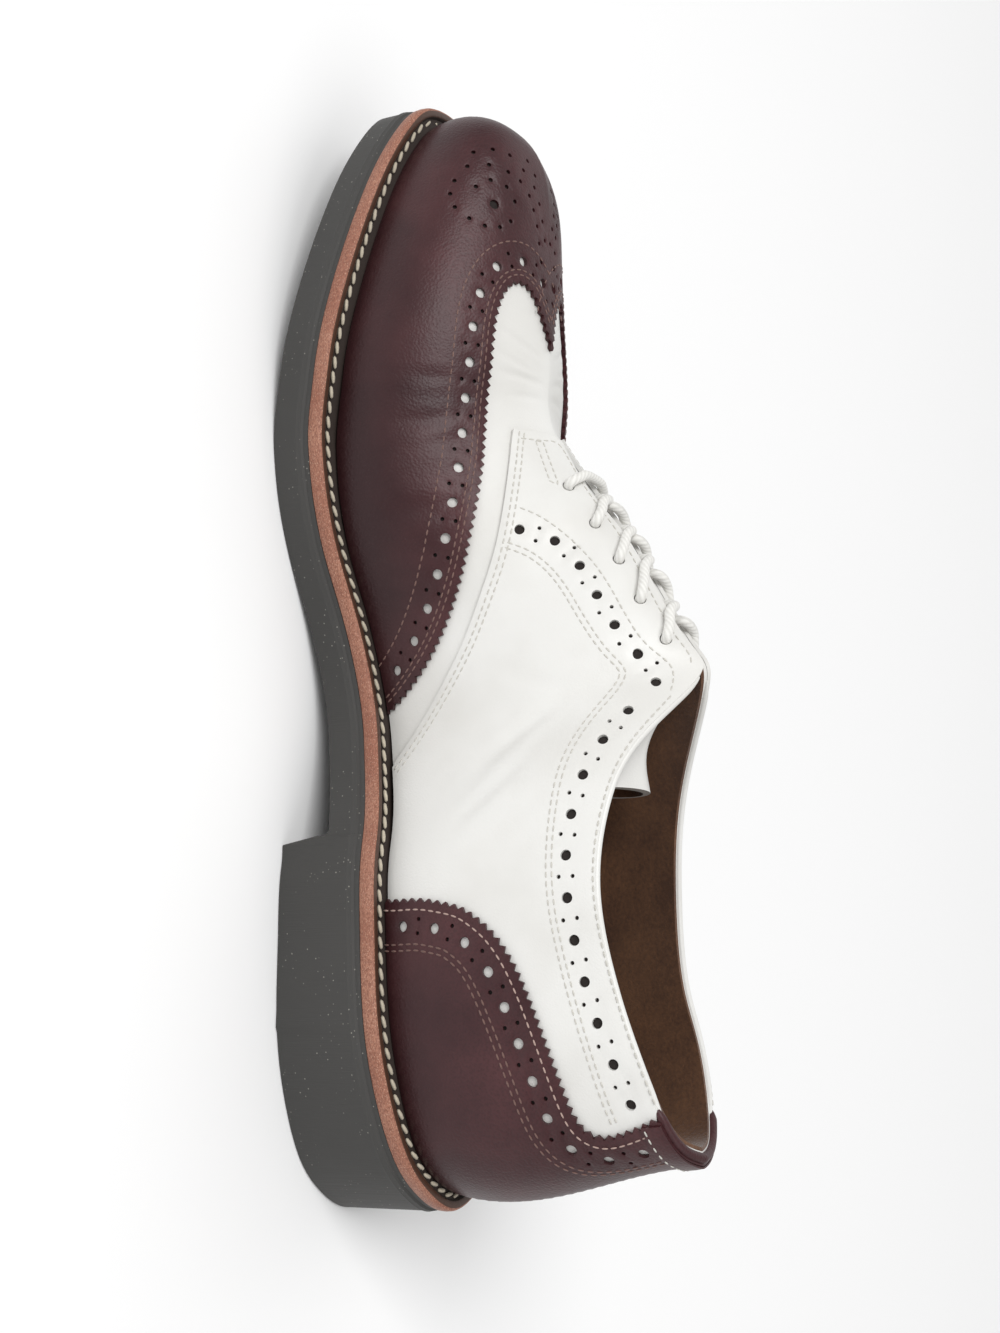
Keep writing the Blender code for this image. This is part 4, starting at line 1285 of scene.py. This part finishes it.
# Finds the (round, up) spots of places given in plan behind the toe
def plannedSpots(places):
    s, u = np.meshgrid(np.linspace(0.0, 0.19, 60), np.linspace(0.25, 1.0, 90))
    spots = np.column_stack((s.ravel(), u.ravel()))
    plan = surface(spots[:, 0], spots[:, 1])[:, :2]
    ds, du = 0.001, -0.002
    found = []
    for behind, aside in places:
        x = last["soleLength"] - behind * 0.001
        aim = np.array([x, float(centreLine(x)) + aside * 0.001])
        guess = spots[np.argmin(np.linalg.norm(plan - aim, axis=1))].copy()
        for _ in range(6):
            s, u = guess[:1], guess[1:]
            here = surface(s, u)[0, :2]
            slopes = ((surface(s + ds, u)[0, :2] - here) / ds, (surface(s, u + du)[0, :2] - here) / du)
            guess += np.clip(np.linalg.solve(np.column_stack(slopes), aim - here), -0.02, 0.02)
            guess = np.clip(guess, (0.001, 0.2), (0.3, 0.995))
        found.append(tuple(guess))
    return found


wingTrail = Trail(wingEdge[1:])
quarterTrail = Trail(quarterFront[1:11])
counterTrail = Trail(counterEdge[1:])


# Line at a distance inside an overlay's edge: below it for wing and counter, above it for a quarter
def inside(trail, distance, below=True):
    middle = len(trail.spots) // 2
    lower = trail.moved(0.004).spots[middle, 1] < trail.spots[middle, 1]
    return trail.moved(distance if lower == below else -distance)


# Spots between two ends at one height, without the ends
def run(start, stop, up, count):
    return [(start + (stop - start) * k / count, up) for k in range(1, count)]


# Outline across the middle line: pinked edge, top, the mirrored half and the foot
def bothSides(row, about, low, tops, feet):
    edge = [(s, min(max(u, low), 1.0)) for s, u in pinked(row)]
    half = edge + [(edge[-1][0], 1.0)] + run(edge[-1][0], about, 1.0, tops) + [(about, 1.0)]
    mirror = [(2 * about - s, u) for s, u in half[:-1]][::-1]
    first = edge[0][0]
    return half + mirror + run(2 * about - first, first, low, feet)


# Burgundy wing with its point on the ridge
def makeWing():
    outline = bothSides(inside(wingTrail, seams["pinkInset"]), 0, 0.006, 24, 260)
    big, small = punch(inside(wingTrail, seams["holeRow"]), 15, 0.009, 0.018)
    eye = punching["big"] * punching["eyeShare"]
    radii = [eye if row[2] else punching["toeSmall"] for row in toeOrnament[1:]]
    places = plannedSpots([row[:2] for row in toeOrnament[1:]])
    dark = small + [(s, u, radius) for (s, u), radius in zip(places, radii)]
    holes = big + dark
    low, thick = layers["low"], layers["panel"]
    leather("wingCap", outline, holes + flipped(holes), low, thick, "burgundy",
            ["wing_cap"])
    # Painted shade: dark discs in the wing's small and medallion holes, where white leather lies beneath
    backingAndHoleShade("wingHoleShade", dark + flipped(dark), low)
    rows = []
    for distance in (seams["nearRow"], seams["farRow"], seams["nearRow"] + seams["twin"]):
        row = inside(wingTrail, distance)
        rows += [row, row.mirrored()]
    sew("wingStitches", rows, low + thick, (0.003, 0.009), "darkThread")


# Middle of the punched band: up the facing, then along the collar
facingHoles = ((0.461, 0.600), (0.491, 0.700), (0.530, 0.755), (0.571, 0.783), (0.602, 0.800), (0.635, 0.826),
               (0.664, 0.890))
collarHoles = ((0.684, 0.880), (0.705, 0.872), (0.730, 0.866), (0.760, 0.865), (0.790, 0.871), (0.818, 0.878),
               (0.845, 0.884), (0.875, 0.889), (0.906, 0.897), (0.928, 0.906), (0.945, 0.914))
# Rows of stitches on a quarter: beside the band, round the throat, along the collar, and the bar's box
facingOuterRow = ((0.441, 0.625), (0.459, 0.690), (0.492, 0.752), (0.530, 0.795), (0.575, 0.838),
                  (0.624, 0.862), (0.672, 0.962))
collarRow = ((0.672, 0.945), (0.700, 0.952), (0.736, 0.957), (0.795, 0.957), (0.847, 0.963), (0.906, 0.969),
             (0.947, 0.975))
bandInnerRow = ((0.467, 0.542), (0.486, 0.600), (0.515, 0.650), (0.560, 0.700), (0.610, 0.738),
                (0.650, 0.770), (0.668, 0.772), (0.682, 0.762), (0.703, 0.766), (0.735, 0.785),
                (0.772, 0.804), (0.806, 0.817), (0.838, 0.827), (0.871, 0.833), (0.908, 0.838),
                (0.952, 0.838))
throatRow = ((0.384, 0.730), (0.394, 0.850), (0.404, 0.945), (0.440, 0.968), (0.520, 0.968), (0.600, 0.966),
             (0.645, 0.962))
barRow = ((0.391, 0.800), (0.395, 0.838), (0.437, 0.826), (0.432, 0.790), (0.391, 0.800))
# Front corner of the quarter, where its edge turns up to the throat
cornerRow = [(0.384, 0.840), (0.390, 0.915), (0.395, 0.960), (0.402, 1.0)]
quarterShape = {"seam": 0.9995, "foot": 0.006, "step": 0.0022, "frontRows": (0.0018, 0.0033),
                "collarShift": 0.0020, "bandTwin": -0.0015}
eyelets = {"first": 0.443, "pitch": 0.0141, "count": 5, "inset": 0.0060, "radius": 0.00165,
           "lastRound": 0.655}


def eyeletSpots():
    fine = np.linspace(eyelets["first"], eyelets["lastRound"], 200)
    length = walked(upperPoint(1, fine, np.ones_like(fine)))
    spots = []
    for around in np.interp(np.arange(eyelets["count"]) * eyelets["pitch"], length, fine):
        ups = np.linspace(0.5, 1.0, 101)
        rise = upperPoint(1, np.full_like(ups, around), ups)
        reach = np.linalg.norm(rise - rise[-1], axis=1)
        spots.append((around, float(np.interp(eyelets["inset"], reach[::-1], ups[::-1]))))
    return spots


# White quarters with their punched band, eyelets and rows of stitches; the outer one mirrors the inner
def makeQuarters():
    seam, foot = quarterShape["seam"], quarterShape["foot"]
    front = [(s, max(u, foot)) for s, u in quarterTrail.at(quarterTrail.every(quarterShape["step"]))]
    outline = front + cornerRow + run(cornerRow[-1][0], seam, 1.0, 260)
    outline += [(seam, u) for u in np.linspace(1.0, foot, 60)] + run(seam, front[0][0], foot, 90)
    holes = []
    for line, count in ((facingHoles, 7), (collarHoles, 11)):
        big, small = punch(Trail(line), count, 0.0, 0.0, lead=False)
        holes += big + small
    holes += [(s, u, eyelets["radius"]) for s, u in eyeletSpots()]
    low, thick = layers["low"], layers["panel"]
    band = Trail(bandInnerRow)
    rows = [inside(quarterTrail, distance, below=False) for distance in quarterShape["frontRows"]]
    collar = Trail(collarRow).moved(quarterShape["collarShift"])
    rows += [Trail(throatRow), Trail(facingOuterRow), collar, band, band.moved(quarterShape["bandTwin"]),
             Trail(barRow, smooth=False)]
    for name, node in (("innerQuarter", "quarter_inner"), ("outerQuarter", "quarter_outer")):
        if node == "quarter_outer":
            outline = [(-s if s < 0.3 else 2 - s, u) for s, u in outline]
            holes = flipped(holes, 1)
            rows = [row.mirrored(1) for row in rows]
        leather(name, outline, holes, low, thick, "white", [node])
        backingAndHoleShade(name + "Backing", holes, low)
        sew(name + "Stitches", rows, low + thick, (0.001, 0.001), "whiteThread")


counterRows = {"light": 0.0030, "holes": 0.0072, "far": (0.0118, 0.0134)}


# Burgundy counter round the heel
def makeCounter():
    outline = bothSides(inside(counterTrail, seams["pinkInset"]), 1, 0.008, 16, 120)
    big, small = punch(inside(counterTrail, counterRows["holes"]), 11, 0.006, 0.009, lead=False)
    holes = big + small
    low, thick = layers["counterLow"], layers["counterThick"]
    leather("heelCounter", outline, holes + flipped(holes, 1), low, thick, "burgundy",
            ["heel_counter"])
    # Painted shade: dark discs in the counter's small holes, where white leather lies beneath
    backingAndHoleShade("counterHoleShade", small + flipped(small, 1), low)
    light = inside(counterTrail, counterRows["light"])
    sew("counterLightStitches", [light, light.mirrored(1)], low + thick, (0.001, 0.001), "roseThread")
    rows = []
    for distance in counterRows["far"]:
        row = inside(counterTrail, distance)
        rows += [row, row.mirrored(1)]
    sew("counterStitches", rows, low + thick, (0.001, 0.003), "darkThread")


rollShape = {"radius": 0.00095, "bindingRadius": 0.00135, "from": 0.656, "to": 0.953, "overlap": 0.004,
             "out": 0.0001, "bindingOut": 0.0007}
stripShape = {"ends": (0.955, 1.045), "low": 0.925, "thick": 0.0007, "spacing": 0.0016,
              "sewn": (0.957, 1.043), "sewnUp": 0.012}


# Tube along the upper's top edge whose radius shrinks softly at both ends
def roll(rounds, out, radius, sides):
    line = over(np.column_stack((rounds, np.ones_like(rounds))), out)
    k = np.minimum(np.arange(len(line)), np.arange(len(line))[::-1])
    return tube(line, radius * np.sqrt(np.clip((k + 0.6) / 5.0, 0, 1)), sides)


# Rolled edge along the collar: white at the sides, burgundy round the heel with its sewn strip
def makeCollar():
    rounds = np.linspace(rollShape["from"], rollShape["to"], 110)
    points, faces, _ = joined([roll(wrapped, rollShape["out"], rollShape["radius"], 12)
                               for wrapped in (rounds, 2 - rounds)])
    piece("collarRoll", points, faces, ["white"], sharp=60)
    start = rollShape["to"] - rollShape["overlap"]
    points, faces, _ = roll(np.linspace(start, 2 - start, 90), rollShape["bindingOut"],
                            rollShape["bindingRadius"], 14)
    piece("heelBinding", points, faces, ["burgundy"], sharp=60)
    level = layers["counterLow"] + layers["counterThick"]
    low, ends = stripShape["low"], stripShape["ends"]
    outline = [(s, low) for s in np.linspace(*ends, 40)] + [(s, 1.0) for s in np.linspace(*ends[::-1], 40)]
    leather("heelStrip", outline, [], level, stripShape["thick"], "burgundy", [],
            stripShape["spacing"])
    row = Trail([(s, low + stripShape["sewnUp"]) for s in np.linspace(*stripShape["sewn"], 9)])
    sew("bindingStitches", [row], level + stripShape["thick"], (0.0, 0.0), "whiteThread")


tongueShape = {"from": 0.345, "low": 0.66, "top": 0.97, "thick": 0.0019, "gap": 0.0009, "reach": 0.029,
               "drop": 0.0140, "dip": 0.0060, "curl": 0.0105, "halfTurn": 128, "rows": 36, "tail": 26,
               "across": 17}


# Tongue under the facings, its free end curled like a half pipe
def makeTongue():
    shape = tongueShape
    level = -(last["wall"] + shape["gap"])
    ups = shape["low"] + (1 - shape["low"]) * np.linspace(0, shape["top"], shape["across"])
    rows = []
    for around in np.linspace(shape["from"], eyelets["lastRound"] - 0.004, shape["rows"]):
        inner = over(np.column_stack((np.full_like(ups, around), ups)), level)
        outer = over(np.column_stack((np.full_like(ups, -around), ups)), level)
        rows.append(np.vstack((inner, (inner[-1] + outer[-1]) / 2, outer[::-1])))
    tail = rows[-1]
    crown = tail[shape["across"]]
    count = len(tail)
    turn = np.linspace(1, -1, count) * math.radians(shape["halfTurn"])
    pipe = shape["curl"] * np.column_stack((np.zeros(count), np.sin(turn), np.cos(turn) - 1))
    for k in range(1, shape["tail"] + 1):
        t = k / shape["tail"]
        blend = t * t * (3 - 2 * t)
        fall = -shape["drop"] * t - shape["dip"] * math.sin(math.pi * t)
        shift = np.array([-shape["reach"] * t, 0.0, fall])
        rows.append(crown + shift + (tail - crown) * (1 - blend) + pipe * blend)
    grid = np.array(rows)
    normal = np.cross(np.gradient(grid, axis=0), np.gradient(grid, axis=1))
    normal /= np.maximum(np.linalg.norm(normal, axis=2), 1e-9)[:, :, None]
    if normal[10, count // 2, 2] < 0:
        normal = -normal
    under = grid - normal * shape["thick"]
    rowCount = len(grid)
    total = rowCount * count
    faces, kinds = [], []
    for i in range(rowCount - 1):
        for j in range(count - 1):
            a = i * count + j
            quad = (a, a + 1, a + count + 1, a + count)
            faces += [quad, tuple(v + total for v in quad[::-1])]
            kinds += [0, 1]
    border = list(range(count)) + [i * count + count - 1 for i in range(1, rowCount)]
    border += [(rowCount - 1) * count + j for j in range(count - 2, -1, -1)]
    border += [i * count for i in range(rowCount - 2, 0, -1)]
    for a, b in zip(border, border[1:] + border[:1]):
        faces.append((b, a, a + total, b + total))
        kinds.append(2)
    points = np.vstack((grid.reshape(-1, 3), under.reshape(-1, 3)))
    first = np.cross(points[1] - points[0], points[count] - points[0])
    if np.dot(first, normal[0, 0]) < 0:
        faces = [face[::-1] for face in faces]
    piece("whiteTongue", points, faces, ["white", "suede", "cutEdge"], ["tongue"], sharp=50,
          kinds=kinds)


# Levels are a strand's depths on its way up through the eyelet; shares are how far it still has to go to
# the throat's edge; dive and meet are its last points, from the crown over the gap
laceShape = {"radius": 0.0014, "sides": 14, "advance": 0.45, "points": 44, "ease": 0.0003, "aside": 0.0016,
             "levels": (-0.0046, -0.0024, -0.0006), "shares": (0.74, 0.46, 0.18),
             "dive": ((0.0006, 0.0006, -0.0004), (0.0012, 0.0, -0.0026), (0.0014, 0.0, -0.0046)),
             "meet": ((0.0, 0.0, -0.0001),)}


# Strand from under an eyelet over the facing's edge; it dives into the gap, or meets the other side's strand
def strand(spot, side, advance, dives):
    around, up = spot
    level = layers["low"] + layers["panel"] + laceShape["radius"] + laceShape["ease"]
    rows = [(around, up, level + under) for under in laceShape["levels"]]
    rows += [(around - advance * (1 - share), 1 - share * (1 - up), level) for share in laceShape["shares"]]
    line = over([(side * s, u) for s, u, _ in rows], [height for _, _, height in rows])
    ends = [(side * (around - advance), 1.0), (-side * (around - advance), 1.0)]
    crown = over(ends, level).mean(axis=0)
    ending = np.array(laceShape["dive"] if dives else laceShape["meet"])
    line = np.vstack((line, crown + ending * (1, side, 1)))
    curve = Curve(chordKnots(line), line)
    return curve(np.linspace(0, curve.knots[-1], laceShape["points"]))


# First run straight across, later ones as two strands that dive between the facings
def makeLaces():
    spots = eyeletSpots()
    pitch = float(np.mean(np.diff([s for s, _ in spots])))
    radius, sides = laceShape["radius"], laceShape["sides"]
    apart = laceShape["aside"] / last["soleLength"]
    for k, spot in enumerate(spots):
        if k == 0:
            first, second = (strand(spot, side, 0.0, False) for side in (1, -1))
            parts = [tube(np.vstack((first, second[-2::-1])), radius, sides)]
        else:
            advance = laceShape["advance"] * pitch
            strands = [strand(spot, side, advance + side * apart, True) for side in (1, -1)]
            parts = [tube(line, radius, sides) for line in strands]
        points, faces, coords = joined(parts)
        node = f"lace_cross_{k}" if k else "lace_bar"
        piece(f"laceRun{k}", points, faces, ["lace"], [node], coords=coords)


makeSole()
makeWelt()
sewWelt()
makeUpper()
makeWing()
makeQuarters()
makeCounter()
makeCollar()
makeTongue()
makeLaces()
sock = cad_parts["insole"]
sock.data.materials.clear()
sock.data.materials.append(finishes["insole"])
print("shoe done")

# Camera of the photograph: turned about its own place so that the one shoe is in the middle
camera = {"focal": 2060.0, "picture": (1000.0, 1333.0), "turn": (-13.01, 34.81, 2.29),
          "about": (0.150, 0.0, 0.030), "shift": (0.04849, 0.00947, 0.57204), "middle": (722.0, 712.0)}


def turned(axis, degrees):
    return np.array(Matrix.Rotation(math.radians(degrees), 3, axis))


def addCamera():
    yaw, elevation, roll = camera["turn"]
    lying = np.array([[0, 0, 1], [-1, 0, 0], [0, -1, 0]], float)
    axes = turned("Z", roll) @ turned("X", yaw) @ turned("Y", elevation) @ lying
    place = np.array(camera["about"]) - np.array(camera["shift"]) @ axes
    place[0] -= heelCentre
    aim = np.array([(camera["middle"][0] - camera["picture"][0] / 2) / camera["focal"],
                    (camera["middle"][1] - camera["picture"][1] / 2) / camera["focal"], 1.0])
    swing = np.array(Vector((0, 0, 1)).rotation_difference(Vector(aim)).to_matrix())
    axes = swing.T @ axes
    data = bpy.data.cameras.new("photoCamera")
    data.sensor_fit = "HORIZONTAL"
    data.lens = camera["focal"] * data.sensor_width / camera["picture"][0]
    made = bpy.data.objects.new("photoCamera", data)
    world = np.eye(4)
    world[:3, 0] = axes[0]
    world[:3, 1] = -axes[1]
    world[:3, 2] = -axes[2]
    world[:3, 3] = place
    made.matrix_world = Matrix(world.tolist())
    bpy.context.scene.collection.objects.link(made)
    bpy.context.scene.camera = made


studio = {"floor": (0.95, 0.95, 0.95), "floorSize": 12.0, "sky": 0.50,
          "lamps": (("keyLamp", (0.9, 1.9, 2.3), 1.6, 58.0), ("fillLamp", (1.8, -1.8, 2.2), 3.0, 13.0),
                    ("backLamp", (-1.8, 0.4, 2.4), 2.4, 16.0))}


def addStudio():
    paper = Finish("paperFloor", Roughness=0.9)
    grain = paper.noise(paper.place(), 3.0, 2.0)
    pale = studio["floor"]
    paper.set("Base Color", paper.mixed(grain * 0.5, pale, tuple(0.985 * part for part in pale)))
    mesh = bpy.data.meshes.new("floor")
    half = studio["floorSize"] / 2
    corners = [(-half, -half, 0), (half, -half, 0), (half, half, 0), (-half, half, 0)]
    mesh.from_pydata(corners, [], [(0, 1, 2, 3)])
    mesh.materials.append(paper.material)
    floor = bpy.data.objects.new("floor", mesh)
    bpy.context.scene.collection.objects.link(floor)
    world = bpy.data.worlds.new("studio")
    world.use_nodes = True
    world.node_tree.nodes["Background"].inputs["Color"].default_value = (1.0, 1.0, 1.0, 1.0)
    world.node_tree.nodes["Background"].inputs["Strength"].default_value = studio["sky"]
    bpy.context.scene.world = world
    for name, spot, size, power in studio["lamps"]:
        lamp = bpy.data.lights.new(name, "AREA")
        lamp.size = size
        lamp.energy = power
        made = bpy.data.objects.new(name, lamp)
        made.location = spot
        away = Vector(spot) - Vector((0.1, 0.0, 0.03))
        made.rotation_euler = away.to_track_quat("Z", "Y").to_euler()
        bpy.context.scene.collection.objects.link(made)


addCamera()
addStudio()
bpy.context.scene.view_settings.view_transform = "Standard"
bpy.context.view_layer.update()
